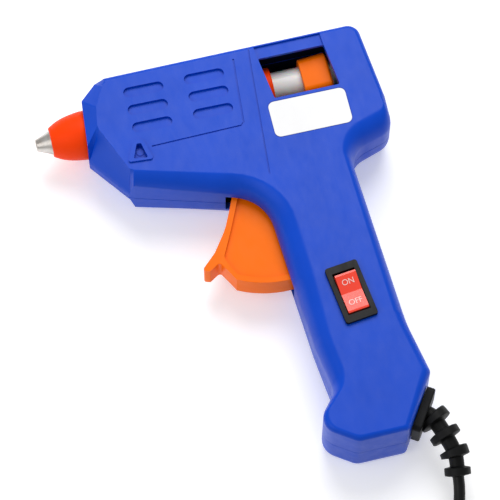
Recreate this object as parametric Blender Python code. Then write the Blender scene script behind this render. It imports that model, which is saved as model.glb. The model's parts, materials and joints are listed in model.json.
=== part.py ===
"""Trigger-fed hot-melt glue gun, lying on its right side.

Design axes, in millimetres: x runs back along the barrel from the nozzle's tip, y runs up
from the nozzle's axis towards the barrel's top, and z runs up from the table, through the
thickness. The two housing halves meet on the plane z = SEAM. Everything hangs from one
empty that carries these axes to the part's own origin, at the middle of its footprint.
"""
import math

import bmesh
import bpy
import numpy as np
from mathutils import Matrix, Vector

# ---- overall sizes, mm --------------------------------------------------------------------
THICK = 31.0            # across the two halves
BARREL_TOP = 15.5       # barrel's top edge above the nozzle's axis
REAR_X = 136.4          # back edge of the barrel, from the nozzle's tip
BUTT_DROP = 152.3       # bottom of the grip below the nozzle's axis
NOSE_X = 20.8           # front wall of the housing
SEAM = THICK / 2
SEAM_GAP = 0.3
WALL = 2.4
GAP = 0.3               # clearance between touching pieces
LOWER_EXTRA = 3.0       # the right half's edge rounds off this much further than the left's

# ---- feed line ----------------------------------------------------------------------------
FEED_RISE = 2.6         # the stick's axis above the nozzle's
STICK_R = 5.9
STICK_FRONT = 52.0
STICK_BACK = 129.0
LENGTH = 136.0          # over the nozzle and the barrel, whose back edge is rounded
BUSH = (129.6, 132.6)
NOZZLE_TIP_R = 2.45
NOZZLE_R = 4.8
NOZZLE_CONE = 6.2
NOZZLE_BORE = 1.6
THREAD_R = 4.0
COVER_R = 9.6
COVER_BACK = 26.6
CHAMBER_R = 8.2
CHAMBER_FRONT = 34.0
CHAMBER_BACK = 76.0
SPIGOT_R = STICK_R + GAP + 0.75
SPIGOT_LENGTH = 8.0
SLEEVE_WALL = 1.1
SLEEVE_BACK = 95.4
HEATER = (22.8, 3.5, 9.0)
CLAMP_WALL = 0.6

# ---- feed mechanism -----------------------------------------------------------------------
PIVOT = Vector((81.5, -39.4))
ARM_LENGTH = 27.0
ARM_LEAN = 14.0         # degrees back from upright at rest
TRIGGER_ARC = 41.0
TRIGGER_THICK = 11.0
TRIGGER_RIM = 2.3
WEB_SINK = 1.5
HUB_R = 5.5
PIN_R = 1.5
PIN_PLAY = 0.25
ARM_EYE_PLAY = 0.45     # the link's front eye is loose, as the arm's pin swings on an arc
TONGUE = 5.0            # thickness of the link
CARRIAGE = (107.0, 118.5)
CARRIAGE_PIN = Vector((113.0, -12.6))
CARRIAGE_HALF = 8.5

# ---- fittings -----------------------------------------------------------------------------
SWITCH_AT = Vector((101.85, -95.0))
SWITCH_TURN = 6.7       # degrees
BEZEL = (12.8, 23.4, 1.5)
SWITCH_BODY = (10.0, 20.0, 13.0)
ROCKER = (8.2, 15.2)
ROCKER_TILT = 8.0
SCREW_R = 1.2
SCREW_HEAD = (2.7, 2.0)
SCREWS = ((41.0, -23.5), (126.5, -15.5), (109.0, -52.0), (100.5, -124.0), (88.5, -142.5))
CORD_D = 4.4
WINDOW = (91.6, 119.0, -9.3, 10.6)
LABEL = (30.6, 15.2)
LABEL_AT = Vector((105.4, -18.4))
SLOT = (15.8, 4.4)
PLUG_PIN = (4.0, 19.0, 19.0)

X_AXIS = Vector((1, 0, 0))
STRAIGHT_REACH = 0.25   # least length of a rounded corner, where two edges run almost straight


def grip_x(y, offset):
    """A place in the grip that leans back with it: offset from its middle line at height y."""
    return 99.0 + 0.0665 * (-48.0 - y) + offset


def at_butt(up, offset):
    y = up - BUTT_DROP
    return grip_x(y, offset), y


def corner_table():
    """The housing's corners, clockwise from the nose: each has its place and fillet on the
    seam, the same on the flat side, how far the edge drops from the flat side, and how much
    of that drop is a quarter ellipse and not a straight line."""
    top = BARREL_TOP
    edge = 2.2
    back = REAR_X
    nose = NOSE_X
    return (
        ((nose, 9.3), 1.2, (nose + 4.8, 3.4), 1.2, 4.6, 0.0),
        ((nose + 6.7, top), 1.0, (nose + 9.0, 11.8), 1.0, 4.6, 0.0),
        ((nose + 10.6, top), 1.0, (nose + 10.8, top - edge), 1.0, edge, 1.0),
        ((back - 3.9, top), 5.0, (back - 6.0, top - edge), 3.2, 2.6, 1.0),
        ((back - 0.9, -17.5), 9.0, (back - 3.2, -16.5), 6.0, 3.2, 1.0),
        ((back, -29.8), 7.0, (back - 2.6, -22.5), 2.5, 8.5, 0.8),
        ((116.8, -35.6), 9.5, (112.8, -29.0), 13.0, 8.5, 0.9),
        ((grip_x(-110.0, 16.3), -110.0), 60.0, (grip_x(-110.0, 12.0), -110.0), 60.0, 5.0, 1.0),
        (at_butt(20.8, 18.5), 2.6, at_butt(21.2, 14.6), 2.2, 4.0, 1.0),
        (at_butt(0.0, 3.3), 1.8, at_butt(1.8, 1.9), 1.6, 2.0, 1.0),
        (at_butt(0.0, -16.0), 6.0, at_butt(2.0, -15.3), 6.0, 2.2, 1.0),
        (at_butt(9.2, -28.6), 6.5, at_butt(10.4, -26.6), 6.0, 2.4, 1.0),
        (at_butt(22.6, -18.1), 8.0, at_butt(24.0, -11.8), 12.0, 6.5, 0.9),
        ((grip_x(-110.0, -19.2), -110.0), 40.0, (grip_x(-110.0, -12.6), -110.0), 40.0, 9.0, 0.9),
        ((grip_x(-84.0, -18.9), -84.0), 30.0, (grip_x(-84.0, -10.6), -84.0), 40.0, 9.0, 0.9),
        ((80.6, -45.8), 17.0, (89.2, -41.6), 27.0, 7.5, 0.7),
        ((32.6, -31.0), 1.0, (34.0, -25.9), 1.0, 4.2, 0.2),
        ((30.4, -30.0), 1.0, (32.3, -25.2), 1.0, 12.5, 0.0),
        ((nose - 2.4, -13.6), 1.0, (nose + 3.8, -6.2), 1.2, 12.0, 0.0),
        ((nose - 1.8, -9.8), 1.0, (nose + 3.5, -4.4), 1.2, 4.6, 0.0),
    )


# ---- scene helpers ------------------------------------------------------------------------
def clear_scene():
    for obj in list(bpy.data.objects):
        bpy.data.objects.remove(obj, do_unlink=True)


def material(name, color, roughness, metallic=0.0):
    made = bpy.data.materials.get(name)
    if made is None:
        made = bpy.data.materials.new(name)
        made.use_nodes = True
        shader = made.node_tree.nodes["Principled BSDF"]
        shader.inputs["Base Color"].default_value = (*color, 1.0)
        shader.inputs["Roughness"].default_value = roughness
        shader.inputs["Metallic"].default_value = metallic
    return made


def empty(name, at=(0, 0, 0), parent=None):
    made = bpy.data.objects.new(name, None)
    made.location = Vector(at) * 0.001
    made.parent = parent
    bpy.context.scene.collection.objects.link(made)
    return made


def solid(name, verts, faces, finish, parent, at=(0, 0, 0), cutter=False):
    """An object from vertices in mm, given in its parent's axes, with its origin at at."""
    mesh = bpy.data.meshes.new(name)
    places = (np.asarray(verts, float) - np.asarray(at, float)) * 0.001
    mesh.from_pydata(places.tolist(), [], [tuple(int(i) for i in face) for face in faces])
    mesh.validate()
    mesh.update()
    made = bpy.data.objects.new(name, mesh)
    made.location = Vector(at) * 0.001
    made.parent = parent
    bpy.context.scene.collection.objects.link(made)
    if cutter:
        made.hide_render = True
        made.display_type = "WIRE"
    else:
        mesh.materials.append(finish)
        mesh.shade_smooth()
        mesh.set_sharp_from_angle(angle=math.radians(35))
    return made


def boolean(target, tool, operation):
    modifier = target.modifiers.new(tool.name, "BOOLEAN")
    modifier.operation = operation
    modifier.solver = "EXACT"
    modifier.object = tool


def merged(shapes):
    """Vertices and faces of several closed shapes as one list."""
    verts = []
    faces = []
    for shape_verts, shape_faces in shapes:
        start = len(verts)
        verts.extend(np.asarray(shape_verts, float).tolist())
        faces.extend([tuple(i + start for i in face) for face in shape_faces])
    return verts, faces


def change(target, name, shapes, operation):
    """Union or difference of target with a set of separate closed shapes."""
    verts, faces = merged(shapes)
    tool = solid(name, verts, faces, None, target.parent, cutter=True)
    boolean(target, tool, operation)


# ---- shapes: each returns vertices and faces of one closed body ----------------------------
def loft(rings):
    """A body through closed rings of equal length, capped at both ends; the rings are wound
    anticlockwise seen from the last one."""
    count = len(rings[0])
    verts = np.vstack([np.asarray(ring, float) for ring in rings])
    faces = [tuple(range(count - 1, -1, -1))]
    for level in range(len(rings) - 1):
        low = level * count
        high = low + count
        for i in range(count):
            j = (i + 1) % count
            faces.append((low + i, low + j, high + j, high + i))
    last = (len(rings) - 1) * count
    faces.append(tuple(range(last, last + count)))
    return verts, faces


def prism(outline, low, high):
    """An outline in x, y, anticlockwise, carried up z from low to high."""
    flat = np.asarray([(p[0], p[1]) for p in outline], float)
    rings = [np.column_stack([flat, np.full(len(flat), z)]) for z in (low, high)]
    return loft(rings)


def box(low, high):
    outline = ((low[0], low[1]), (high[0], low[1]), (high[0], high[1]), (low[0], high[1]))
    return prism(outline, low[2], high[2])


def turned(profile, y, z, sides, origin_x=0.0):
    """A body of revolution about the line along x at (y, z); profile is a closed loop of
    (x, radius), or an open line whose ends are both on the axis."""
    profile = list(profile)
    closed = profile[0][1] > 0
    angles = np.arange(sides) * 2 * math.pi / sides
    rows = []
    verts = []
    for x, radius in profile:
        if radius == 0:
            rows.append([len(verts)] * sides)
            verts.append((x + origin_x, y, z))
        else:
            rows.append(list(range(len(verts), len(verts) + sides)))
            ring = [(x + origin_x, y + radius * math.cos(a), z + radius * math.sin(a))
                    for a in angles]
            verts.extend(ring)
    faces = []
    pairs = len(rows) if closed else len(rows) - 1
    for k in range(pairs):
        near = rows[k]
        far = rows[(k + 1) % len(rows)]
        for i in range(sides):
            j = (i + 1) % sides
            face = []
            for index in (near[i], near[j], far[j], far[i]):
                if index not in face:
                    face.append(index)
            if len(face) > 2:
                faces.append(tuple(reversed(face)))
    return outward(verts, faces)


def outward(verts, faces):
    """The same body with every face turned out."""
    mesh = bmesh.new()
    made = [mesh.verts.new(v) for v in verts]
    mesh.verts.ensure_lookup_table()
    for face in faces:
        mesh.faces.new([made[i] for i in face])
    bmesh.ops.recalc_face_normals(mesh, faces=mesh.faces)
    mesh.verts.index_update()
    new_faces = [tuple(v.index for v in face.verts) for face in mesh.faces]
    volume = mesh.calc_volume(signed=True)
    mesh.free()
    if volume < 0:
        new_faces = [tuple(reversed(face)) for face in new_faces]
    return verts, new_faces


def cylinder(x, y, radius, low, high, sides=16):
    """A cylinder along z."""
    angles = (np.arange(sides) + 0.5) * 2 * math.pi / sides
    outline = [(x + radius * math.cos(a), y + radius * math.sin(a)) for a in angles]
    return prism(outline, low, high)


def rod(x0, x1, y, z, radius, sides=16):
    """A cylinder along x."""
    return turned(((x0, 0), (x0, radius), (x1, radius), (x1, 0)), y, z, sides)


def rounded(corners, counts=None, step=12.0):
    """A polygon with its corners ((x, y), radius) rounded by arcs. Returns the points and
    how many each corner took, so that two outlines can be given the same counts."""
    points = []
    used = []
    total = len(corners)
    for i, (corner, radius) in enumerate(corners):
        here = Vector(corner)
        before = Vector(corners[i - 1][0]) - here
        after = Vector(corners[(i + 1) % total][0]) - here
        turn = math.pi - before.angle(after)
        reach = radius * math.tan(turn / 2)
        reach = min(reach, 0.46 * before.length, 0.46 * after.length)
        count = counts[i] if counts else max(1, round(math.degrees(turn) / step))
        used.append(count)
        if reach < 0.02 and not counts and radius == 0:
            used[-1] = 0
            points.append((here.x, here.y))
            continue
        reach = max(reach, STRAIGHT_REACH)
        start = here + before.normalized() * reach
        end = here + after.normalized() * reach
        if math.degrees(turn) < 1.0:
            points.extend([tuple(start.lerp(end, k / count)) for k in range(count + 1)])
            continue
        radius = reach / math.tan(turn / 2)
        middle = before.normalized() + after.normalized()
        centre = here + middle.normalized() * math.hypot(radius, reach)
        first = start - centre
        angle = first.angle_signed(end - centre)
        for k in range(count + 1):
            part = Matrix.Rotation(-angle * k / count, 2) @ first
            points.append((centre.x + part.x, centre.y + part.y))
    return points, used


def inset(corners, distance):
    """The corners ((x, y), radius) of a polygon moved in by distance on every side."""
    total = len(corners)
    area = sum(corners[i - 1][0][0] * corners[i][0][1] - corners[i][0][0] * corners[i - 1][0][1]
               for i in range(total))
    turn = 1.0 if area > 0 else -1.0
    made = []
    for i, (corner, radius) in enumerate(corners):
        here = Vector(corner)
        along_in = (here - Vector(corners[i - 1][0])).normalized()
        along_out = (Vector(corners[(i + 1) % total][0]) - here).normalized()
        normal_in = Vector((-along_in.y, along_in.x)) * turn
        normal_out = Vector((-along_out.y, along_out.x)) * turn
        middle = (normal_in + normal_out).normalized()
        spot = here + middle * distance / middle.dot(normal_in)
        bend = along_in.cross(along_out) * turn
        new_radius = max(radius - distance, 0.3) if bend > 0 else radius + distance
        made.append(((spot.x, spot.y), new_radius))
    return made


def grip_body(side, cavity=False, rings=5):
    """Half of the housing's outer form, or of the hollow in it. side is 1 for the left half,
    above the seam, and -1 for the right half. From the seam the wall stands straight, then
    the edge runs in to the flat side along a mix of a straight line and a quarter ellipse."""
    table = corner_table()
    seam_corners = [(row[0], row[1]) for row in table]
    flat_corners = [(row[2], row[3]) for row in table]
    if cavity:
        seam_corners = inset(seam_corners, WALL)
        flat_corners = inset(flat_corners, WALL * 0.8)
    seam_points, counts = rounded(seam_corners)
    flat_points, _ = rounded(flat_corners, counts)
    extra = LOWER_EXTRA if side < 0 else 0.0
    most = THICK / 2 - 1.5
    drops = []
    softness = []
    for row, count in zip(table, counts):
        drops.extend([min(row[4] + extra, most)] * (count + 1))
        softness.extend([row[5]] * (count + 1))
    seam_points = np.array(seam_points)
    flat_points = np.array(flat_points)
    drops = np.array(drops)
    softness = np.array(softness)
    height = THICK / 2 - (WALL if cavity else 0.0)
    start = -1.0 if cavity else SEAM_GAP / 2
    levels = [np.column_stack([seam_points, np.full(len(drops), start)])]
    for k in range(rings):
        t = k / (rings - 1)
        across = softness * (1 - math.cos(t * math.pi / 2)) + (1 - softness) * t
        up = softness * math.sin(t * math.pi / 2) + (1 - softness) * t
        spot = seam_points + (flat_points - seam_points) * across[:, None]
        levels.append(np.column_stack([spot, height - drops + drops * up]))
    placed = []
    for level in levels:
        level = level.copy()
        level[:, 2] = SEAM + side * level[:, 2]
        placed.append(level)
    verts, faces = loft(placed)
    return outward(verts, faces)


def stadium(x, y, length, width, turn, low, high, ends=4):
    """A slot with round ends, along x turned by turn degrees."""
    outline = []
    half = length / 2 - width / 2
    for sign in (1, -1):
        for k in range(ends + 1):
            angle = math.radians(-90 + 180 * k / ends) + (0 if sign > 0 else math.pi)
            outline.append((sign * half + width / 2 * math.cos(angle),
                            width / 2 * math.sin(angle)))
    spin = Matrix.Rotation(math.radians(turn), 2)
    placed = []
    for point in outline:
        turned_point = spin @ Vector(point)
        placed.append((x + turned_point.x, y + turned_point.y))
    return prism(placed, low, high)


def strip(points, width, low, high):
    """A groove or a rim of one width along an open line of points."""
    line = [Vector(p) for p in points]
    left = []
    right = []
    for i, here in enumerate(line):
        before = (here - line[i - 1]).normalized() if i else None
        after = (line[i + 1] - here).normalized() if i + 1 < len(line) else None
        before = before or after
        after = after or before
        normal = Vector((-before.y - after.y, before.x + after.x)).normalized()
        reach = width / 2 / max(0.4, normal.dot(Vector((-before.y, before.x))))
        left.append(here + normal * reach)
        right.append(here - normal * reach)
    outline = [(p.x, p.y) for p in right] + [(p.x, p.y) for p in reversed(left)]
    return prism(outline, low, high)


def tube(points, radius, sides, closed=False):
    """A round bar whose rings follow a line of points, turned as little as possible."""
    line = [Vector(p) for p in points]
    count = len(line)
    tangents = []
    for i in range(count):
        ahead = line[(i + 1) % count] if closed or i + 1 < count else line[i]
        behind = line[i - 1] if closed or i > 0 else line[i]
        tangents.append((ahead - behind).normalized())
    normal = tangents[0].orthogonal().normalized()
    rings = []
    for here, tangent in zip(line, tangents):
        normal = (normal - tangent * normal.dot(tangent)).normalized()
        other = tangent.cross(normal)
        ring = []
        for k in range(sides):
            angle = 2 * math.pi * k / sides
            ring.append(here + (normal * math.cos(angle) + other * math.sin(angle)) * radius)
        rings.append([tuple(p) for p in ring])
    verts, faces = loft(rings)
    return outward(verts, faces)


def smooth_line(points, spacing):
    """Points at even spacing along a smooth curve through the given ones."""
    line = [Vector(p) for p in points]
    line = [line[0] * 2 - line[1]] + line + [line[-1] * 2 - line[-2]]
    fine = []
    for a, b, c, d in zip(line, line[1:], line[2:], line[3:]):
        for k in range(24):
            t = k / 24
            fine.append(0.5 * (2 * b + (c - a) * t + (2 * a - 5 * b + 4 * c - d) * t * t
                               + (3 * b - 3 * c + d - a) * t ** 3))
    fine.append(line[-2])
    fine = np.array([tuple(p) for p in fine])
    along = np.concatenate([[0], np.cumsum(np.linalg.norm(np.diff(fine, axis=0), axis=1))])
    count = max(2, round(along[-1] / spacing) + 1)
    at = np.linspace(0, along[-1], count)
    return np.stack([np.interp(at, along, fine[:, k]) for k in range(3)], axis=1)


def wire(name, points, diameter, finish, parent, resolution=2):
    """A cord or a lead: a round curve object with filled caps."""
    curve = bpy.data.curves.new(name, "CURVE")
    curve.dimensions = "3D"
    spline = curve.splines.new("POLY")
    spline.points.add(len(points) - 1)
    for place, point in zip(spline.points, points):
        place.co = (*(float(c) * 0.001 for c in point), 1.0)
    curve.bevel_depth = diameter * 0.0005
    curve.bevel_resolution = resolution
    curve.use_fill_caps = True
    curve.materials.append(finish)
    made = bpy.data.objects.new(name, curve)
    made.parent = parent
    bpy.context.scene.collection.objects.link(made)
    return made


# ---- housing ------------------------------------------------------------------------------
def switch_frame(u, v):
    """A place on the grip's side from the switch's own axes: u along it, v across it."""
    spin = Matrix.Rotation(math.radians(SWITCH_TURN), 2)
    spot = SWITCH_AT + spin @ Vector((v, u))
    return spot.x, spot.y


def switch_box(half_u, half_v, low, high):
    corners = ((-half_u, -half_v), (-half_u, half_v), (half_u, half_v), (half_u, -half_v))
    outline = [switch_frame(u, v) for u, v in corners]
    return prism(outline, low, high)


def slot_places():
    """Middles of the six vents, in two columns of three."""
    return [(45.0 + 24.1 * column, 6.4 - 7.7 * row) for column in (0, 1) for row in range(3)]


def trigger_slot():
    """The mouth in the grip's front that the trigger works through."""
    half = TRIGGER_THICK / 2 + GAP
    bottom = PIVOT.y - TRIGGER_ARC - 4.2
    outline = ((66.1, bottom), (91.0, bottom), (91.0, -36.0), (66.1, -36.0))
    return prism(outline, SEAM - half, SEAM + half)


def exit_axes():
    """Where the cord's grommet sits on the slanting corner of the butt, and which way out."""
    table = corner_table()
    heel = Vector(table[8][0])
    foot = Vector(table[9][0])
    along = (foot - heel).normalized()
    out = Vector((-along.y, along.x))
    return (heel + foot) / 2, along, out


def on_exit(along_by, out_by, z):
    middle, along, out = exit_axes()
    spot = middle + along * along_by + out * out_by
    return spot.x, spot.y, z


def exit_disc(start, end, radius, sides=16):
    """A cylinder along the grommet's axis."""
    middle, along, out = exit_axes()
    rings = []
    for by in (start, end):
        ring = []
        for k in range(sides):
            angle = 2 * math.pi * k / sides
            ring.append(on_exit(radius * math.cos(angle), by, SEAM + radius * math.sin(angle)))
        rings.append(ring)
    verts, faces = loft(rings)
    return outward(verts, faces)


def openings():
    """What both halves leave out: the nose's hole, the stick's way in and the cord's way
    out."""
    return [rod(NOSE_X - 12, COVER_BACK + 0.6, 0, SEAM, COVER_R + GAP, 32),
            rod(BUSH[0] - 0.6, REAR_X + 6, FEED_RISE, SEAM, STICK_R + 2.2, 28),
            exit_disc(-8.0, 4.0, 3.5 + GAP, 16)]


def ribs(side):
    """Two plates across the barrel, each with a round seat for the melt chamber."""
    near = 0.6
    far = THICK / 2 - 1.2
    seat = CHAMBER_R + GAP
    bottom = -math.acos(near / seat)
    top = math.radians(48.0)
    outline = [(-13.0, near)]
    for k in range(11):
        angle = bottom + (top - bottom) * k / 10
        outline.append((FEED_RISE + seat * math.sin(angle), seat * math.cos(angle)))
    outline += [(outline[-1][0], far), (-13.0, far)]
    made = []
    for x in (CHAMBER_FRONT + 3.0, CHAMBER_BACK - SPIGOT_LENGTH - 2.8):
        rings = [[(at, y, SEAM + side * z) for y, z in outline] for at in (x, x + 1.8)]
        made.append(outward(*loft(rings)))
    return made


def bosses(side, radius):
    made = []
    for x, y in SCREWS:
        ends = sorted((SEAM + side * 0.2, SEAM + side * (THICK / 2 - 1.2)))
        made.append(cylinder(x, y, radius, ends[0], ends[1]))
    half = TRIGGER_THICK / 2 + 2 * GAP
    ends = sorted((SEAM + side * half, SEAM + side * (THICK / 2 - 1.2)))
    made.append(cylinder(PIVOT.x, PIVOT.y, 4.2, ends[0], ends[1]))
    return made


def pin_well(side):
    """The blind hole for the trigger's pivot pin."""
    ends = sorted((SEAM, SEAM + side * (THICK / 2 - WALL - 0.6)))
    return cylinder(PIVOT.x, PIVOT.y, PIN_R + GAP, ends[0], ends[1])


def stand_socket(finish_low):
    """The arrow-shaped seat for a wire stand's end: its rim, pocket and hole."""
    apex = (38.1, -14.2)
    feet = ((33.4, -21.4), (41.0, -22.6))
    rim = strip((feet[0], apex, feet[1]), 1.2, finish_low, THICK + 0.7)
    pocket = prism(((34.9, -21.3), (39.8, -22.0), (38.5, -16.6), (37.6, -16.6)),
                   THICK - 1.8, THICK + 2)
    hole = cylinder(37.9, -18.6, 1.4, THICK - WALL - 3, THICK - 0.4, 14)
    return rim, pocket, hole


def left_housing(finish, parent):
    verts, faces = grip_body(1)
    shell = solid("left_housing", verts, faces, finish, parent)
    change(shell, "left_hollow", [grip_body(1, cavity=True)], "DIFFERENCE")
    change(shell, "left_bosses", bosses(1, 3.2) + ribs(1), "UNION")
    rim, pocket, hole = stand_socket(THICK - 1.0)
    change(shell, "stand_rim", [rim], "UNION")
    change(shell, "left_openings", openings(), "DIFFERENCE")
    left, right, low, high = WINDOW
    window = prism(((left + 1.9, low), (right + 0.6, low), (right - 1.4, high),
                    (left - 0.4, high)), SEAM + 3, THICK + 3)
    cuts = [window, trigger_slot(), pin_well(1),
            switch_box(SWITCH_BODY[1] / 2 + GAP, SWITCH_BODY[0] / 2 + GAP, SEAM + 3, THICK + 3)]
    cuts += [cylinder(x, y, SCREW_R + GAP, SEAM - 1, SEAM + 8.0, 12) for x, y in SCREWS]
    change(shell, "left_cuts", cuts, "DIFFERENCE")
    bar = prism(((left - 0.4, high - 0.4), (right - 1.4, high - 0.4), (right - 1.8, high + 6),
                 (left - 1.0, high + 6)), THICK - 1.1, THICK + 3)
    vents = [stadium(x, y, *SLOT, -1.0, THICK - 0.9, THICK + 2) for x, y in slot_places()]
    seat = rounded_box(LABEL_AT, LABEL[0] + 0.5, LABEL[1] + 0.5, 2.6, -0.5, THICK - 0.25,
                       THICK + 2)
    panel = strip(((42.4, -18.1), (78.4, -17.6), (79.4, -16.4), (81.0, 2.0), (81.9, 11.0)),
                  0.7, THICK - 0.5, THICK + 2)
    change(shell, "left_marks", [bar, seat, panel] + vents, "DIFFERENCE")
    line = strip(((89.0, BARREL_TOP + 3), (87.7, 4.7), (85.9, -17.0), (83.9, -40.0)), 0.6,
                 THICK - 0.5, THICK + 2)
    change(shell, "left_line", [line], "DIFFERENCE")
    change(shell, "stand_pocket", [pocket], "DIFFERENCE")
    change(shell, "stand_hole", [hole], "DIFFERENCE")
    return shell


def right_housing(finish, parent):
    verts, faces = grip_body(-1)
    shell = solid("right_housing", verts, faces, finish, parent)
    change(shell, "right_hollow", [grip_body(-1, cavity=True)], "DIFFERENCE")
    change(shell, "right_bosses", bosses(-1, 4.2) + ribs(-1), "UNION")
    change(shell, "right_openings", openings(), "DIFFERENCE")
    cuts = [trigger_slot(), pin_well(-1)]
    for x, y in SCREWS:
        cuts.append(cylinder(x, y, SCREW_HEAD[0] + GAP, -1, SCREW_HEAD[1] + 2.2))
    cuts += [stadium(x, y, *SLOT, -1.0, -1.0, 0.9) for x, y in slot_places()]
    change(shell, "right_cuts", cuts, "DIFFERENCE")
    shanks = [cylinder(x, y, SCREW_R + GAP, 1, SEAM + 1, 12) for x, y in SCREWS]
    change(shell, "right_shanks", shanks, "DIFFERENCE")
    return shell


def rounded_box(centre, length, height, radius, turn, low, high):
    half_x = length / 2
    half_y = height / 2
    spin = Matrix.Rotation(math.radians(turn), 2)
    corners = []
    for sx, sy in ((-1, -1), (1, -1), (1, 1), (-1, 1)):
        spot = Vector(centre) + spin @ Vector((sx * half_x, sy * half_y))
        corners.append(((spot.x, spot.y), radius))
    points, _ = rounded(corners, step=18.0)
    return prism(points, low, high)


# ---- nozzle and melt chamber --------------------------------------------------------------
def nozzle(finish, cover_finish, parent):
    bore = NOZZLE_BORE
    seat = COVER_BACK
    profile = ((0.0, 0.8), (0.0, NOZZLE_TIP_R - 0.25), (0.3, NOZZLE_TIP_R),
               (NOZZLE_CONE, NOZZLE_R), (seat + 0.2, NOZZLE_R), (seat + 0.2, THREAD_R),
               (CHAMBER_FRONT - 1.2, THREAD_R), (CHAMBER_FRONT - 1.2, bore), (4.0, bore))
    verts, faces = turned(profile, 0, SEAM, 32)
    solid("nozzle_tip", verts, faces, finish, parent)
    inner = NOZZLE_R + GAP
    profile = ((NOZZLE_CONE - 0.2, inner), (NOZZLE_CONE - 0.2, inner + 0.5),
               (NOZZLE_CONE + 1.2, inner + 1.5), (NOZZLE_CONE + 3.4, inner + 2.6),
               (NOZZLE_CONE + 6.6, inner + 3.6), (NOZZLE_CONE + 10.0, COVER_R - 0.4),
               (NOZZLE_CONE + 13.2, COVER_R), (seat, COVER_R), (seat, inner))
    verts, faces = turned(profile, 0, SEAM, 32)
    solid("nozzle_cover", verts, faces, cover_finish, parent)


def melt_chamber(finish, parent):
    step = CHAMBER_BACK - SPIGOT_LENGTH
    profile = ((CHAMBER_FRONT, 0), (CHAMBER_FRONT, CHAMBER_R - 1), (CHAMBER_FRONT + 1, CHAMBER_R),
               (step, CHAMBER_R), (step, SPIGOT_R), (CHAMBER_BACK, SPIGOT_R),
               (CHAMBER_BACK, 0))
    verts, faces = turned(profile, FEED_RISE, SEAM, 28)
    chamber = solid("melt_chamber", verts, faces, finish, parent)
    length, depth, width = HEATER
    pad_low = FEED_RISE - CHAMBER_R - 0.8
    front = CHAMBER_FRONT + 8.0
    pad = box((front, pad_low, SEAM - width / 2), (front + length, 0, SEAM + width / 2))
    change(chamber, "heater_pad", [pad], "UNION")
    snout = rod(COVER_BACK + 0.6, CHAMBER_FRONT + 2, 0, SEAM, 6.4, 24)
    change(chamber, "chamber_snout", [snout], "UNION")
    socket = rod(COVER_BACK - 2, CHAMBER_FRONT - 0.7, 0, SEAM, THREAD_R + GAP, 24)
    change(chamber, "thread_socket", [socket], "DIFFERENCE")
    bore = rod(STICK_FRONT - 8, CHAMBER_BACK + 2, FEED_RISE, SEAM, STICK_R + GAP, 24)
    change(chamber, "stick_bore", [bore], "DIFFERENCE")
    channel = rod(COVER_BACK, STICK_FRONT - 6, 0, SEAM, NOZZLE_BORE, 12)
    change(chamber, "outlet", [channel], "DIFFERENCE")


def heater(finish, clamp_finish, parent):
    length, depth, width = HEATER
    top = FEED_RISE - CHAMBER_R - 0.8 - GAP
    front = CHAMBER_FRONT + 8.0
    verts, faces = box((front + 1, top - depth, SEAM - width / 2),
                       (front + length - 1, top, SEAM + width / 2))
    solid("heater_plate", verts, faces, finish, parent)
    reach = CHAMBER_R + GAP
    corners = []
    for sy, sz in ((-1, -1), (1, -1), (1, 1), (-1, 1)):
        y = FEED_RISE + reach if sy > 0 else top - depth - GAP
        corners.append(((y, SEAM + sz * reach), 3.0 if sy > 0 else 1.0))
    inner, counts = rounded(corners, step=15.0)
    outer, _ = rounded(inset(corners, -CLAMP_WALL), counts)
    rings = []
    middle = front + length / 2
    for outline, x in ((inner, middle - 3), (outer, middle - 3), (outer, middle + 3),
                       (inner, middle + 3)):
        rings.append([(x, y, z) for y, z in outline])
    verts, faces = band(rings)
    solid("heater_clamp", verts, faces, clamp_finish, parent)


def band(rings):
    """A closed band: rings of equal length joined one to the next and the last to the first."""
    count = len(rings[0])
    verts = np.vstack([np.asarray(ring, float) for ring in rings])
    faces = []
    for level in range(len(rings)):
        low = level * count
        high = (level + 1) % len(rings) * count
        for i in range(count):
            j = (i + 1) % count
            faces.append((low + i, low + j, high + j, high + i))
    return outward(verts, faces)


def feed_line(sleeve_finish, ring_finish, bush_finish, parent):
    inner = SPIGOT_R + GAP
    outer = inner + SLEEVE_WALL
    front = CHAMBER_BACK - SPIGOT_LENGTH + GAP
    profile = ((front, inner), (front, outer), (SLEEVE_BACK - 0.5, outer),
               (SLEEVE_BACK, outer - 0.4), (SLEEVE_BACK, inner - 0.2),
               (SLEEVE_BACK - 1.2, inner))
    verts, faces = turned(profile, FEED_RISE, SEAM, 28)
    solid("inlet_sleeve", verts, faces, sleeve_finish, parent)
    hold = outer + GAP
    profile = ((front + 4, hold), (front + 4, hold + 0.8), (front + 7, hold + 0.8),
               (front + 7, hold))
    verts, faces = turned(profile, FEED_RISE, SEAM, 28)
    solid("sleeve_ring", verts, faces, ring_finish, parent)
    bush = STICK_R + 2.2 - GAP
    start, end = BUSH
    profile = ((start, STICK_R + GAP), (start, bush), (end - 0.6, bush), (end, bush - 0.6),
               (end, STICK_R + 0.9), (end - 0.8, STICK_R + GAP))
    verts, faces = turned(profile, FEED_RISE, SEAM, 28)
    solid("rear_bush", verts, faces, bush_finish, parent)


# ---- feed mechanism -----------------------------------------------------------------------
def arm_pin_place():
    lean = math.radians(ARM_LEAN)
    return PIVOT + Vector((math.sin(lean), math.cos(lean))) * ARM_LENGTH


def arc_point(angle, radius):
    angle = math.radians(angle)
    return PIVOT + Vector((math.cos(angle), math.sin(angle))) * radius


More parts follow.
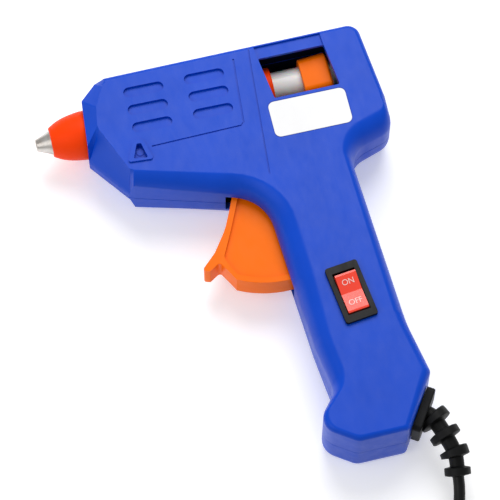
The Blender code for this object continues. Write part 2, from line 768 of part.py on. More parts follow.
def trigger(finish, parent):
    pin = arm_pin_place()
    up = (pin - PIVOT).normalized()
    across = Vector((up.y, -up.x))
    tip = 3.4
    arc = TRIGGER_ARC
    corners = [(tuple(pin + up * tip - across * tip), 3.2),
               (tuple(pin + up * tip + across * tip), 3.2),
               (tuple(PIVOT + across * (HUB_R + 0.8) + up * 3), 4.0),
               (tuple(arc_point(-80, arc)), 1.2)]
    for angle in range(-82, -119, -2):
        corners.append((tuple(arc_point(angle, arc)), 0.0))
    corners += [(tuple(arc_point(-122.5, arc - 2.0)), 3.0),
                (tuple(arc_point(-130.6, arc - 4.4)), 1.2),
                (tuple(arc_point(-132.8, arc + 0.6)), 0.9),
                (tuple(arc_point(-136.6, arc + 1.9)), 0.9),
                (tuple(arc_point(-136.5, arc - 6.8)), 6.0),
                (tuple(arc_point(-141.3, arc - 17.0)), 16.0),
                (tuple(arc_point(-156.5, arc - 25.0)), 6.0),
                (tuple(PIVOT + Vector((-11.0, 2.4))), 3.0),
                (tuple(PIVOT - across * (HUB_R - 1.2) + up * 5.6), 4.0)]
    outline, _ = rounded(corners, step=15.0)
    outline = list(reversed(outline))
    half = TRIGGER_THICK / 2
    verts, faces = prism(outline, SEAM - half, SEAM + half)
    body = solid("trigger", verts, faces, finish, parent, at=(PIVOT.x, PIVOT.y, SEAM))
    inner = arc - TRIGGER_RIM
    hollow_corners = [(tuple(arc_point(angle, inner)), 0.0) for angle in range(-66, -119, -2)]
    hollow_corners += [(tuple(arc_point(-122.5, inner - 1.8)), 3.0),
                       (tuple(arc_point(-129.8, inner - 4.7)), 2.5),
                       (tuple(arc_point(-136.0, 23.3)), 16.0),
                       (tuple(arc_point(-149.9, 14.6)), 6.0),
                       (tuple(PIVOT + Vector((-8.9, 1.4))), 0.5)]
    hollow_corners += [(tuple(arc_point(angle, HUB_R + 1.2)), 0.0)
                       for angle in (-180, -155, -130, -105)]
    hollow_corners.append((tuple(PIVOT + Vector((14.0, -8.2))), 0.0))
    hollow, _ = rounded(hollow_corners, step=18.0)
    hollow = list(reversed(hollow))
    pockets = [prism(hollow, SEAM + half - WEB_SINK, SEAM + half + 2),
               prism(hollow, SEAM - half - 2, SEAM - half + WEB_SINK)]
    change(body, "trigger_webs", pockets, "DIFFERENCE")
    side = TONGUE / 2 + GAP
    fork_back = pin - up * 6.2
    fork = []
    for by_up, by_across in ((0, -9), (0, 9), (14, 9), (14, -9)):
        spot = fork_back + up * by_up + across * by_across
        fork.append((spot.x, spot.y))
    change(body, "trigger_fork", [prism(fork, SEAM - side, SEAM + side)], "DIFFERENCE")
    holes = [cylinder(PIVOT.x, PIVOT.y, PIN_R + PIN_PLAY, SEAM - 9, SEAM + 9, 20),
             cylinder(pin.x, pin.y, PIN_R + PIN_PLAY, SEAM - 9, SEAM + 9, 20)]
    change(body, "trigger_holes", holes, "DIFFERENCE")


def pin(name, spot, half, finish, parent):
    verts, faces = cylinder(spot.x, spot.y, PIN_R, SEAM - half, SEAM + half, 16)
    solid(name, verts, faces, finish, parent, at=(spot.x, spot.y, SEAM))


def drive_link(finish, parent):
    """A flat bar between the trigger's arm and the carriage, with a round eye at each end."""
    start = arm_pin_place()
    end = CARRIAGE_PIN
    along = (end - start).normalized()
    across = Vector((-along.y, along.x))
    eye = 2.9
    corners = [(tuple(start - along * eye - across * eye), 2.8),
               (tuple(end + along * eye - across * eye), 2.8),
               (tuple(end + along * eye + across * eye), 2.8),
               (tuple(start - along * eye + across * eye), 2.8)]
    outline, _ = rounded(corners, step=18.0)
    verts, faces = prism(outline, SEAM - TONGUE / 2, SEAM + TONGUE / 2)
    link = solid("drive_link", verts, faces, finish, parent, at=(end.x, end.y, SEAM))
    holes = [cylinder(start.x, start.y, PIN_R + ARM_EYE_PLAY, SEAM - 6, SEAM + 6, 20),
             cylinder(end.x, end.y, PIN_R + PIN_PLAY, SEAM - 6, SEAM + 6, 20)]
    change(link, "link_holes", holes, "DIFFERENCE")


def carriage(finish, plate_finish, parent):
    """The collar that rides on the stick, with a forked lug below it for the link."""
    front, back = CARRIAGE
    half = CARRIAGE_HALF
    low = FEED_RISE - half - 0.4
    high = FEED_RISE + half - 1.9
    shapes = []
    for grow, x in ((0.0, front), (0.5, back - 2.2), (0.5, back - 0.8), (-0.6, back)):
        corners = (((low, SEAM - half - grow), 2.5), ((high + grow, SEAM - half - grow), 3.2),
                   ((high + grow, SEAM + half + grow), 3.2), ((low, SEAM + half + grow), 2.5))
        outline, _ = rounded(corners, [4, 4, 4, 4])
        shapes.append([(x, y, z) for y, z in outline])
    verts, faces = loft(shapes)
    verts, faces = outward(verts, faces)
    collar = solid("feed_carriage", verts, faces, finish, parent,
                   at=(front, FEED_RISE, SEAM))
    lug = box((front + 1.2, CARRIAGE_PIN.y - 3.2, SEAM - 5.4),
              (front + 10.2, low + 1.0, SEAM + 5.4))
    change(collar, "carriage_lug", [lug], "UNION")
    side = TONGUE / 2 + GAP
    notch = box((front - 2, CARRIAGE_PIN.y - 5, SEAM - side), (back, CARRIAGE_PIN.y + 3.9,
                                                               SEAM + side))
    change(collar, "carriage_notch", [notch], "DIFFERENCE")
    bore = rod(front - 2, back + 2, FEED_RISE, SEAM, STICK_R + GAP, 28)
    change(collar, "carriage_bore", [bore], "DIFFERENCE")
    hole = cylinder(CARRIAGE_PIN.x, CARRIAGE_PIN.y, PIN_R + PIN_PLAY, SEAM - 9, SEAM + 9, 20)
    change(collar, "carriage_hole", [hole], "DIFFERENCE")
    top = FEED_RISE + STICK_R + 0.8
    outline = ((back + GAP, top - 4.2), (back + 1.1, top - 4.2), (back + 1.1, top + 1.6),
               (back + GAP, top + 1.6))
    verts, faces = prism(outline, SEAM - 5.0, SEAM + 5.0)
    plate = solid("grip_plate", verts, faces, plate_finish, parent)
    bite = rod(back - 1, back + 3, FEED_RISE, SEAM, STICK_R + GAP, 28)
    change(plate, "plate_bite", [bite], "DIFFERENCE")


def return_spring(finish, parent):
    """A close coil that pulls the trigger's arm back, along x between its two hooks."""
    pin = arm_pin_place()
    start = Vector((pin.x + 5.4, PIVOT.y + 15.4, SEAM))
    turns = 9
    radius = 1.9
    length = 13.0
    points = [start + X_AXIS * (length * k / (turns * 10)) + Vector((
        0, radius * math.cos(2 * math.pi * k / 10), radius * math.sin(2 * math.pi * k / 10)))
        for k in range(turns * 10 + 1)]
    head = [start + Vector((-2.2, 0.6, 0)), start + Vector((-1.2, 0.9, 0))]
    tail = [points[-1] + Vector((1.4, -1.2, 0)), points[-1] + Vector((3.0, -1.9, 0))]
    verts, faces = tube(head + points + tail, 0.35, 6)
    solid("return_spring", verts, faces, finish, parent)


# ---- switch -------------------------------------------------------------------------------
def rocker_switch(black, red, steel, root):
    bezel_v, bezel_u, proud = BEZEL
    body_v, body_u, depth = SWITCH_BODY
    rocker_v, rocker_u = ROCKER
    corners = []
    for u, v in ((-1, -1), (-1, 1), (1, 1), (1, -1)):
        corners.append((switch_frame(u * bezel_u / 2, v * bezel_v / 2), 1.0))
    outline, _ = rounded(corners, step=22.0)
    verts, faces = prism(outline, THICK + 0.1, THICK + 0.1 + proud)
    case = solid("switch_body", verts, faces, black, root)
    change(case, "switch_case", [switch_box(body_u / 2, body_v / 2, THICK - depth,
                                            THICK + 0.1 + proud / 2)], "UNION")
    room = switch_box(rocker_u / 2 + 1.1, rocker_v / 2 + 0.35, THICK - 7.5, THICK + 5)
    change(case, "switch_room", [room], "DIFFERENCE")
    pivot_z = THICK - 0.9
    at = (*switch_frame(0, 0), pivot_z)
    across = Vector((*switch_frame(0, 1), 0)) - Vector((*switch_frame(0, 0), 0))
    along = Vector((*switch_frame(1, 0), 0)) - Vector((*switch_frame(0, 0), 0))
    along = along.normalized()
    across = across.normalized()
    tilt = math.radians(ROCKER_TILT)
    half = rocker_u / 2
    crest = 2.5
    rise = half * math.tan(tilt)
    profile = ((-half, -3.2), (half, -3.2), (half + 0.3, -1.0), (half, crest + rise),
               (half - 0.7, crest + rise + 0.15), (0.0, crest), (-half + 0.7, crest + rise + 0.15),
               (-half, crest + rise), (-half - 0.3, -1.0))
    rings = []
    for v in (-rocker_v / 2, rocker_v / 2):
        ring = []
        for u, w in profile:
            turned_u = u * math.cos(tilt) - w * math.sin(tilt)
            turned_w = u * math.sin(tilt) + w * math.cos(tilt)
            spot = Vector(at) + along * turned_u + across * v + Vector((0, 0, turned_w))
            ring.append(tuple(spot))
        rings.append(ring)
    verts, faces = outward(*loft(rings))
    rocker = solid("switch_rocker", verts, faces, red, root, at=at)
    change(rocker, "rocker_hole", [cross_bar(at, across, 0.95, rocker_v)], "DIFFERENCE")
    verts, faces = cross_bar(at, across, 0.75, rocker_v / 2 + 0.2)
    solid("switch_pin", verts, faces, steel, root)
    for index, u in enumerate((-5.0, 5.0), start=1):
        verts, faces = switch_tab(u, THICK - depth - 6.0, THICK - depth - 0.3)
        solid(f"switch_terminal_{index}", verts, faces, steel, root)


def switch_tab(u, low, high):
    corners = ((u - 0.4, -2.4), (u - 0.4, 2.4), (u + 0.4, 2.4), (u + 0.4, -2.4))
    outline = [switch_frame(a, b) for a, b in corners]
    return prism(outline, low, high)


def cross_bar(at, across, radius, reach):
    """A bar through the rocker along its hinge."""
    up = Vector((0, 0, 1))
    other = across.cross(up)
    rings = []
    for by in (-reach, reach):
        ring = []
        for k in range(12):
            angle = 2 * math.pi * k / 12
            spot = (Vector(at) + across * by + up * radius * math.cos(angle)
                    + other * radius * math.sin(angle))
            ring.append(tuple(spot))
        rings.append(ring)
    return outward(*loft(rings))


# ---- fasteners ----------------------------------------------------------------------------
def screw(name, x, y, head_low, tip_z, finish, parent):
    """A pan-head screw with a cross recess, its head down and its shank up."""
    head_r, head_h = SCREW_HEAD
    profile = ((0.0, 0), (0.0, head_r - 0.5), (0.5, head_r), (head_h, head_r),
               (head_h, SCREW_R), (tip_z - head_low - 1.0, SCREW_R), (tip_z - head_low, 0))
    verts, faces = turned(profile, 0, 0, 14)
    placed = [(x - vy, y + vz, head_low + vx) for vx, vy, vz in verts]
    verts, faces = outward(placed, faces)
    made = solid(name, verts, faces, finish, parent)
    reach = head_r * 0.62
    arm = 0.4
    outline = ((-arm, -reach), (arm, -reach), (arm, -arm), (reach, -arm), (reach, arm),
               (arm, arm), (arm, reach), (-arm, reach), (-arm, arm), (-reach, arm),
               (-reach, -arm), (-arm, -arm))
    recess = prism([(x + a, y + b) for a, b in outline], head_low - 1, head_low + 1.0)
    change(made, name + "_recess", [recess], "DIFFERENCE")


# ---- cord ---------------------------------------------------------------------------------
BOOT_BEND = ((7.756, -11.7, 14.8), (9.356, -18.9, 13.4), (8.556, -26.5, 10.6))
COIL_AT = Vector((78.1, -216.8))
COIL_R = 26.0
COIL_LIFT = 0.9
COIL_WIDE = 4 * CORD_D
COIL_HIGH = 1.88 * CORD_D
PLUG_AT = Vector((10.6, -232.8))
PLUG_TURN = 162.0       # degrees
PLUG_BODY = (34.0, 26.0, 13.6)
PLUG_NECK = 13.0


def boot_line():
    """The boot's middle line, from the grommet out and over to the cord's own heading."""
    start = Vector(on_exit(0, 0, SEAM))
    ahead = Vector(on_exit(0, 1, SEAM)) - start
    bend = [(start.x + dx, start.y + dy, z) for dx, dy, z in BOOT_BEND]
    return smooth_line([start + ahead * 1.0, start + ahead * 5.4, *bend], 1.5)


def grommet(finish, parent):
    """Strain relief in one piece: a flange outside the butt, a neck through it, a head
    inside it, and a tapering boot with four ribs."""
    corners = []
    for sa, sz in ((-1, -1), (1, -1), (1, 1), (-1, 1)):
        corners.append(((sa * 9.2, SEAM + sz * 6.8), 2.0))
    outline, _ = rounded(corners, step=22.0)
    rings = [[on_exit(a, by, z) for a, z in outline] for by in (0.35, 3.6)]
    verts, faces = outward(*loft(rings))
    body = solid("cord_grommet", verts, faces, finish, parent)
    neck = exit_disc(-4.6, 1.5, 3.5, 16)
    head = exit_disc(-5.8, -3.6, 5.0, 16)
    change(body, "grommet_neck", [neck], "UNION")
    change(body, "grommet_head", [head], "UNION")
    line = [Vector(p) for p in boot_line()]
    count = len(line) - 1
    shape = bent_body(line, [(k / count, 3.3 - 0.6 * k / count) for k in range(count + 1)])
    change(body, "boot_spine", [shape], "UNION")
    discs = []
    for place, radius in ((0.20, 6.2), (0.44, 5.9), (0.69, 5.5), (0.93, 5.0)):
        discs.append(bent_body(line, ((place - 0.06, radius - 0.5), (place - 0.045, radius),
                                      (place + 0.045, radius), (place + 0.06, radius - 0.5))))
    change(body, "boot_ribs", discs, "UNION")
    lead = exit_disc(-9.0, 2.0, CORD_D / 2 + GAP, 12)
    change(body, "grommet_bore", [lead], "DIFFERENCE")


def bent_body(line, stations, sides=14):
    """A round body whose radius is given at shares of the way along a line."""
    along = np.concatenate([[0], np.cumsum([(b - a).length for a, b in zip(line, line[1:])])])
    share = along / along[-1]
    places = np.array([tuple(p) for p in line])
    rings = []
    for at, radius in stations:
        spot = Vector([float(np.interp(at, share, places[:, k])) for k in range(3)])
        ahead = Vector([float(np.interp(min(at + 0.04, 1), share, places[:, k]))
                        for k in range(3)])
        behind = Vector([float(np.interp(max(at - 0.04, 0), share, places[:, k]))
                         for k in range(3)])
        tangent = (ahead - behind).normalized()
        side = tangent.cross(Vector((0, 0, 1))).normalized()
        other = side.cross(tangent)
        rings.append([tuple(spot + (side * math.cos(a) + other * math.sin(a)) * radius)
                      for a in np.arange(sides) * 2 * math.pi / sides])
    return outward(*loft(rings))


def coil_and_tie(black, parent):
    corners = []
    for sr, sz in ((-1, 0), (1, 0), (1, 1), (-1, 1)):
        corners.append(((COIL_R + sr * COIL_WIDE / 2, COIL_LIFT + sz * COIL_HIGH), 2.0))
    section, _ = rounded(corners, step=30.0)
    rings = []
    for k in range(40):
        angle = 2 * math.pi * k / 40
        rings.append([(COIL_AT.x + r * math.cos(angle), COIL_AT.y + r * math.sin(angle), z)
                      for r, z in section])
    verts, faces = band(rings)
    solid("cord_coil", verts, faces, black, parent)
    inside, counts = rounded(inset(corners, -2 * GAP), step=30.0)
    outside, _ = rounded(inset(corners, -2 * GAP - 0.3), counts)
    turn = math.radians(200)
    rings = []
    for outline, width in ((inside, -3.0), (outside, -3.0), (outside, 3.0), (inside, 3.0)):
        ring = []
        for r, z in outline:
            ring.append((COIL_AT.x + r * math.cos(turn) - width * math.sin(turn),
                         COIL_AT.y + r * math.sin(turn) + width * math.cos(turn), z))
        rings.append(ring)
    verts, faces = band(rings)
    solid("cord_tie", verts, faces, material("tie", (0.03, 0.03, 0.032), 0.7), parent)


def plug_spot(along, across, z):
    spin = Matrix.Rotation(math.radians(PLUG_TURN), 2)
    spot = PLUG_AT + spin @ Vector((along, across))
    return spot.x, spot.y, z


def plug_ring(along, half_wide, half_high, corner):
    """One cross-section of the plug, a rounded rectangle at a distance along it."""
    corners = []
    for sa, sz in ((-1, -1), (1, -1), (1, 1), (-1, 1)):
        corners.append(((sa * half_wide, PLUG_BODY[2] / 2 + sz * half_high), corner))
    outline, _ = rounded(corners, [4, 4, 4, 4])
    return [plug_spot(along, across, z) for across, z in outline]


def plug(black, steel, parent):
    """A flat two-pin plug lying beside the coil, its neck towards the cord."""
    length, wide, high = PLUG_BODY
    back = -length / 2
    stations = ((back - PLUG_NECK, CORD_D / 2 + 0.7, CORD_D / 2 + 0.7, 2.4),
                (back - 1.0, 4.6, 4.6, 3.0), (back + 5.0, wide / 2 - 3.0, high / 2 - 0.8, 4.0),
                (back + 11.0, wide / 2, high / 2, 4.6), (length / 2 - 1.2, wide / 2, high / 2, 4.6),
                (length / 2, wide / 2 - 1.2, high / 2 - 1.2, 3.8))
    verts, faces = outward(*loft([plug_ring(*station) for station in stations]))
    solid("plug_body", verts, faces, black, parent)
    width, pitch, reach = PLUG_PIN
    for index, side in enumerate((-1, 1), start=1):
        rings = []
        for along, radius in ((GAP, width / 2), (reach - 1.2, width / 2), (reach, width / 2 - 1)):
            ring = []
            for k in range(12):
                angle = 2 * math.pi * k / 12
                ring.append(plug_spot(length / 2 + along,
                                      side * pitch / 2 + radius * math.cos(angle),
                                      high / 2 + radius * math.sin(angle)))
            rings.append(ring)
        verts, faces = outward(*loft(rings))
        solid(f"plug_pin_{index}", verts, faces, steel, parent)


def free_cord(black, parent):
    """The two stretches of cord outside the coil: from the boot to it, and from it to the
    plug. Each runs straight out, comes down to the table and meets the coil on a tangent."""
    low = CORD_D / 2
    boot = boot_line()
    leave = Vector(boot[-1])
    onward = (leave - Vector(boot[-2])).normalized()
    route = [leave + onward * 2 * GAP, leave + onward * 3.6, (123.2, -176.3, 7.7),
             (121.0, -184.1, 4.9), (119.3, -189.9, 3.5), (118.0, -194.7, low + COIL_LIFT),
             (114.6, -206.6, low + COIL_LIFT)]
    wire("power_cord", smooth_line(route, CORD_D * 0.7), CORD_D, black, parent, 3)
    outer = COIL_R + 1.5 * CORD_D
    neck = plug_spot(-PLUG_BODY[0] / 2 - PLUG_NECK - GAP, 0, PLUG_BODY[2] / 2)
    ahead = Vector(plug_spot(-PLUG_BODY[0] / 2 - PLUG_NECK - 6, 0, PLUG_BODY[2] / 2 - 0.6))
    route = [(COIL_AT.x - 19.0, COIL_AT.y - outer, low + COIL_LIFT + 0.4),
             (COIL_AT.x - 25.0, COIL_AT.y - outer + 0.6, low + COIL_LIFT + 1.2), ahead, neck]
    wire("plug_lead", smooth_line(route, CORD_D * 0.7), CORD_D, black, parent, 3)


def inner_wiring(colours, jacket, clamp_finish, steel, parent):
    """The cord's tail and its clamp inside the butt, and the leads to switch and heater."""
    tail = [Vector(on_exit(0, -1.5, SEAM)), Vector(on_exit(0, -6, SEAM)),
            Vector(on_exit(0.6, -12, SEAM - 3)), Vector(on_exit(2.0, -19, SEAM - 5.2))]
    wire("cord_tail", smooth_line(tail, 3.0), CORD_D - 0.2, jacket, parent, 2)
    front = CHAMBER_FRONT + 8 + HEATER[0]
    side = THICK - WALL - 3.4
    first = switch_frame(-5.0, 0)
    second = switch_frame(5.0, 0)
    low = THICK - SWITCH_BODY[2] - 7.4
    high = side + 0.2
    floor = WALL + 3.2
    shared = ((95.5, -48.0), (90.5, -36.0), (84.0, -28.5), (75.0, -23.0))
    routes = {
        "lead_live": [(96.6, -130.4, 12.0), (94.4, -124.6, 11.0), (98.4, -113.0, 10.0),
                      (*first, low)],
        "lead_switched": [(*second, low), (103.2, -81.0, 12.5), (104.4, -71.0, 19.5),
                          (101.0, -59.0, high), *((x, y, high) for x, y in shared),
                          (front + 1.0, -14.8, 21.5), (front - 3.5, -13.1, SEAM + 2)],
        "lead_neutral": [(97.2, -129.6, 8.4), (94.2, -123.6, 7.4), (98.0, -111.0, 6.6),
                         (102.0, -95.0, 6.2), (103.6, -78.0, 5.8), (101.2, -62.0, floor),
                         *((x, y, floor) for x, y in shared),
                         (front + 1.0, -14.8, 9.6), (front - 3.5, -13.1, SEAM - 2)],
    }
    for name, route in routes.items():
        wire(name, smooth_line(route, 4.0), 1.7, colours[name], parent, 1)


def cord_clamp(finish, steel, parent):
    """A strap across the cord's tail, screwed down at both ends."""
    rings = []
    for by in (-15.5, -11.5):
        ring = []
        for along, z in ((-8.5, SEAM + 2.4), (-3.0, SEAM + 2.4), (-2.2, SEAM + 1.2),
                         (3.2, SEAM + 1.2), (4.0, SEAM + 2.4), (8.5, SEAM + 2.4),
                         (8.5, SEAM + 4.2), (-8.5, SEAM + 4.2)):
            ring.append(on_exit(along, by, z))
        rings.append(ring)
    verts, faces = outward(*loft(rings))
    strap = solid("cord_clamp", verts, faces, finish, parent)
    for index, along in enumerate((-6.6, 6.6), start=1):
        x, y, _ = on_exit(along, -13.5, 0)
        hole = cylinder(x, y, 1.1, SEAM, SEAM + 8, 12)
        change(strap, f"clamp_hole_{index}", [hole], "DIFFERENCE")
        verts, faces = cylinder(x, y, 0.85, SEAM - 3.5, SEAM + 4.2 + GAP, 12)
        peg = solid(f"clamp_screw_{index}", verts, faces, steel, parent)
        change(peg, f"clamp_head_{index}", [cylinder(x, y, 1.7, SEAM + 4.2 + GAP / 2,
                                                     SEAM + 5.6, 12)], "UNION")


# ---- assembly -----------------------------------------------------------------------------
def main():
    clear_scene()
    blue = material("blue_plastic", (0.029, 0.114, 0.607), 0.42)
    flame = material("red_silicone", (0.95, 0.096, 0.01), 0.5)
    orange = material("orange_plastic", (1.0, 0.238, 0.007), 0.38)
    grey = material("glue", (0.57, 0.57, 0.54), 0.35)
    steel = material("steel", (0.6, 0.6, 0.6), 0.35, 1.0)
    cast = material("aluminium", (0.55, 0.55, 0.56), 0.5, 1.0)
    black = material("black_plastic", (0.012, 0.012, 0.013), 0.45)
    rubber = material("black_rubber", (0.014, 0.014, 0.014), 0.6)
    red = material("red_plastic", (0.9, 0.03, 0.02), 0.3)
    white = material("label", (0.9, 0.9, 0.9), 0.5)
    bench = empty("bench", (-LENGTH / 2, (BUTT_DROP - BARREL_TOP) / 2, 0))
    left_housing(blue, bench)
    right_housing(blue, bench)
    nozzle(material("nozzle_metal", (0.62, 0.61, 0.59), 0.4, 1.0), flame, bench)
    melt_chamber(cast, bench)
    heater(material("ceramic", (0.7, 0.68, 0.62), 0.6), steel, bench)
    feed_line(flame, steel, black, bench)
    verts, faces = turned(((STICK_FRONT, 0), (STICK_FRONT, STICK_R - 0.4),
                           (STICK_FRONT + 0.6, STICK_R), (STICK_BACK - 0.3, STICK_R),
                           (STICK_BACK, STICK_R - 0.3), (STICK_BACK, 0)), FEED_RISE, SEAM, 28)
    solid("glue_stick", verts, faces, grey, bench, at=(STICK_FRONT, FEED_RISE, SEAM))
    carriage(orange, steel, bench)
    drive_link(steel, bench)
    trigger(orange, bench)
    half = THICK / 2 - WALL - 1.0
    pin("pivot_pin", PIVOT, half, steel, bench)
    pin("arm_pin", arm_pin_place(), TRIGGER_THICK / 2 + 0.6, steel, bench)
    pin("carriage_pin", CARRIAGE_PIN, 6.2, steel, bench)
    return_spring(steel, bench)
    rocker_switch(black, red, steel, bench)
    label = rounded_box(LABEL_AT, *LABEL, 2.4, -0.5, THICK - 0.2, THICK + 0.05)
    solid("name_label", *label, white, bench)
    grommet(rubber, bench)
    for index, (x, y) in enumerate(SCREWS, start=1):
        screw(f"housing_screw_{index}", x, y, 2.0, SEAM + 7.0, steel, bench)
    colours = {"lead_live": material("brown_lead", (0.15, 0.05, 0.02), 0.5),
               "lead_switched": material("black_lead", (0.02, 0.02, 0.02), 0.5),
               "lead_neutral": material("blue_lead", (0.02, 0.08, 0.4), 0.5)}
    inner_wiring(colours, rubber, black, steel, bench)
    cord_clamp(black, steel, bench)
    free_cord(rubber, bench)
    coil_and_tie(rubber, bench)
    plug(black, steel, bench)


if __name__ == "__main__":
    main()
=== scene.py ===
"""Trigger-fed hot-melt glue gun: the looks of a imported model, laid out as a Blender add-on.

Lengths in the shape functions are millimetres in the gun's design axes: x runs back along
the barrel from the nozzle's tip, y up from the nozzle's axis and z up from the table. BENCH
carries them to the model's own frame.
"""

import json
import math

import bmesh
import bpy
import numpy as np
from mathutils import Matrix, Vector


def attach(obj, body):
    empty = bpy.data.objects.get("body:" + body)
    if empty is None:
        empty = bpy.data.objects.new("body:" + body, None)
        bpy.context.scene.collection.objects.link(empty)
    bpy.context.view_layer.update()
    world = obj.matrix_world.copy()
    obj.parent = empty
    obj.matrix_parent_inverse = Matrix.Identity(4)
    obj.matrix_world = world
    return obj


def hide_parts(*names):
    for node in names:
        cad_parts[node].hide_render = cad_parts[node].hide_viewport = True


bl_info = {
    "name": "Glue gun looks",
    "version": (1, 0, 0),
    "blender": (4, 5, 0),
    "location": "View3D > Sidebar > Glue gun",
    "description": "Builds the visible pieces of a hot-melt glue gun on its packed frame",
    "category": "Object",
}

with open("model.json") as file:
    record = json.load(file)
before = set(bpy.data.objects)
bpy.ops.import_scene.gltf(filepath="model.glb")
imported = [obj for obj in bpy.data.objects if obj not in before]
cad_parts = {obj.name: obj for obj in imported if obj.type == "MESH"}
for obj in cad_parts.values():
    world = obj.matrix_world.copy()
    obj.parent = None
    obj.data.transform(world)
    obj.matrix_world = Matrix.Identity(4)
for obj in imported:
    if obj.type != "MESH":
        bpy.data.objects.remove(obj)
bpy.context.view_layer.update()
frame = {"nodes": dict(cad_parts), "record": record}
NODES = frame["nodes"]

# ---- sizes of the gun, mm -----------------------------------------------------------------
BENCH = np.array([-68.0, 68.4, 0.0])
THICK = 31.0
SEAM = THICK / 2
SEAM_GAP = 0.3
WALL = 2.4
GAP = 0.3
BARREL_TOP = 15.5
REAR_X = 136.4
BUTT_DROP = 152.3
NOSE_X = 20.8
LOWER_EXTRA = 3.0
FEED_RISE = 2.6
STICK_R = 5.9
COVER_R = 9.6
COVER_BACK = 26.6
PIVOT = (81.5, -39.4)
TRIGGER_ARC = 41.0
TRIGGER_THICK = 11.0
SWITCH_AT = np.array([101.85, -95.0])
SWITCH_TURN = math.radians(6.7)
SWITCH_BODY = (10.0, 20.0)
ROCKER_TILT = math.radians(8.0)
ROCKER_CREST = 2.5
ROCKER_HALF = 7.6
ROCKER_REACH = 4.1
ROCKER_LIP = (0.7, 0.15)
ROCKER_HINGE_Z = THICK - 0.9
SCREWS = ((41.0, -23.5), (126.5, -15.5), (109.0, -52.0), (100.5, -124.0), (88.5, -142.5))
CORD_D = 4.4
WINDOW = (91.6, 119.0, -9.3, 8.6)
BUSH = (129.6, 132.6)
LABEL = (30.6, 15.2)
LABEL_AT = (105.4, -18.4)
SLOT = (15.8, 4.4)
VENT_SINK = 1.2
LINE_SINK = 0.5
BAR_SINK = 1.1
COIL_AT = np.array([78.1, -216.8])
COIL_R = 26.0
COIL_LIFT = 0.9
CORD_EXIT = (124.7, -168.4, 10.6)
PLUG_AT = np.array([10.6, -232.8])
PLUG_TURN = math.radians(162.0)
PLUG_BODY = (34.0, 26.0, 13.6)
PLUG_NECK = 13.0


# ---- helpers for meshes -------------------------------------------------------------------
def placed(points):
    """Design millimetres to metres in the model's frame."""
    return (np.asarray(points, float).reshape(-1, 3) + BENCH) * 0.001


def mesh_object(name, points, faces, material, smooth_angle=40.0):
    """A mesh object at the origin from points in design millimetres."""
    mesh = bpy.data.meshes.new(name)
    mesh.from_pydata(placed(points).tolist(), [], [list(map(int, face)) for face in faces])
    mesh.validate()
    piece = bpy.data.objects.new(name, mesh)
    bpy.context.scene.collection.objects.link(piece)
    cleaned(mesh)
    if material:
        mesh.materials.append(material)
    mesh.shade_smooth()
    mesh.set_sharp_from_angle(angle=math.radians(smooth_angle))
    return piece


def cleaned(mesh, within=1e-6):
    """Doubles merged and normals turned out, as a closed shell needs."""
    work = bmesh.new()
    work.from_mesh(mesh)
    bmesh.ops.remove_doubles(work, verts=work.verts, dist=within)
    bmesh.ops.recalc_face_normals(work, faces=work.faces)
    if work.calc_volume(signed=True) < 0:
        bmesh.ops.reverse_faces(work, faces=work.faces)
    work.to_mesh(mesh)
    work.free()


def grid_faces(rows, columns, closed_columns=True, closed_rows=False):
    """Quads of a grid whose points run row by row, as one array of corner numbers."""
    row_count = rows if closed_rows else rows - 1
    column_count = columns if closed_columns else columns - 1
    i, j = np.meshgrid(np.arange(row_count), np.arange(column_count), indexing="ij")
    below = i * columns
    above = (i + 1) % rows * columns
    after = (j + 1) % columns
    return np.stack([below + j, below + after, above + after, above + j], -1).reshape(-1, 4)


def lofted(rings):
    """Points and faces of a body through rings of equal length, with a flat cap at each end."""
    rings = np.asarray(rings, float)
    rows, columns = rings.shape[:2]
    faces = grid_faces(rows, columns).tolist()
    faces.append(list(range(columns))[::-1])
    faces.append(list(range((rows - 1) * columns, rows * columns)))
    return rings.reshape(-1, 3), faces


def prism(outline, low, high):
    """An outline in x, y carried straight up z from low to high."""
    outline = np.asarray(outline, float)
    heights = np.array([low, high])
    rings = np.stack([np.column_stack([outline, np.full(len(outline), z)]) for z in heights])
    return lofted(rings)


def joined(shapes):
    """Several closed shapes as one list of points and faces."""
    points = []
    faces = []
    start = 0
    for shape_points, shape_faces in shapes:
        points.append(np.asarray(shape_points, float))
        faces.extend([[int(c) + start for c in face] for face in shape_faces])
        start += len(shape_points)
    return np.vstack(points), faces


def cut(piece, shapes, operation="DIFFERENCE", finish=None):
    """A Boolean of the piece with closed shapes, applied at once. A finish given here goes on
    the faces the cut leaves."""
    points, faces = joined(shapes)
    tool = mesh_object("tool", points, faces, finish)
    modifier = piece.modifiers.new("cut", "BOOLEAN")
    modifier.operation = operation
    modifier.solver = "EXACT"
    modifier.object = tool
    if finish is not None:
        modifier.material_mode = "TRANSFER"
    settle(piece)
    bpy.data.objects.remove(tool, do_unlink=True)


def settle(piece):
    """The piece's modifiers taken into its mesh."""
    bpy.context.view_layer.update()
    graph = bpy.context.evaluated_depsgraph_get()
    mesh = bpy.data.meshes.new_from_object(piece.evaluated_get(graph), depsgraph=graph)
    old = piece.data
    piece.modifiers.clear()
    piece.data = mesh
    bpy.data.meshes.remove(old)


def finished(piece, body, replaced=(), bevel=0.0, segments=2, angle=35.0):
    """Bevel and weighted normals, then the piece rides on its body and stands for its nodes."""
    if bevel:
        edge = piece.modifiers.new("edge", "BEVEL")
        edge.width = bevel * 0.001
        edge.segments = segments
        edge.limit_method = "ANGLE"
        edge.angle_limit = math.radians(angle)
        edge.use_clamp_overlap = True
        edge.miter_outer = "MITER_ARC"
        settle(piece)
        piece.data.shade_smooth()
        piece.data.set_sharp_from_angle(angle=math.radians(50.0))
    weighted = piece.modifiers.new("normals", "WEIGHTED_NORMAL")
    weighted.keep_sharp = True
    weighted.weight = 80
    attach(piece, body)
    if replaced:
        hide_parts(*replaced)
    return piece


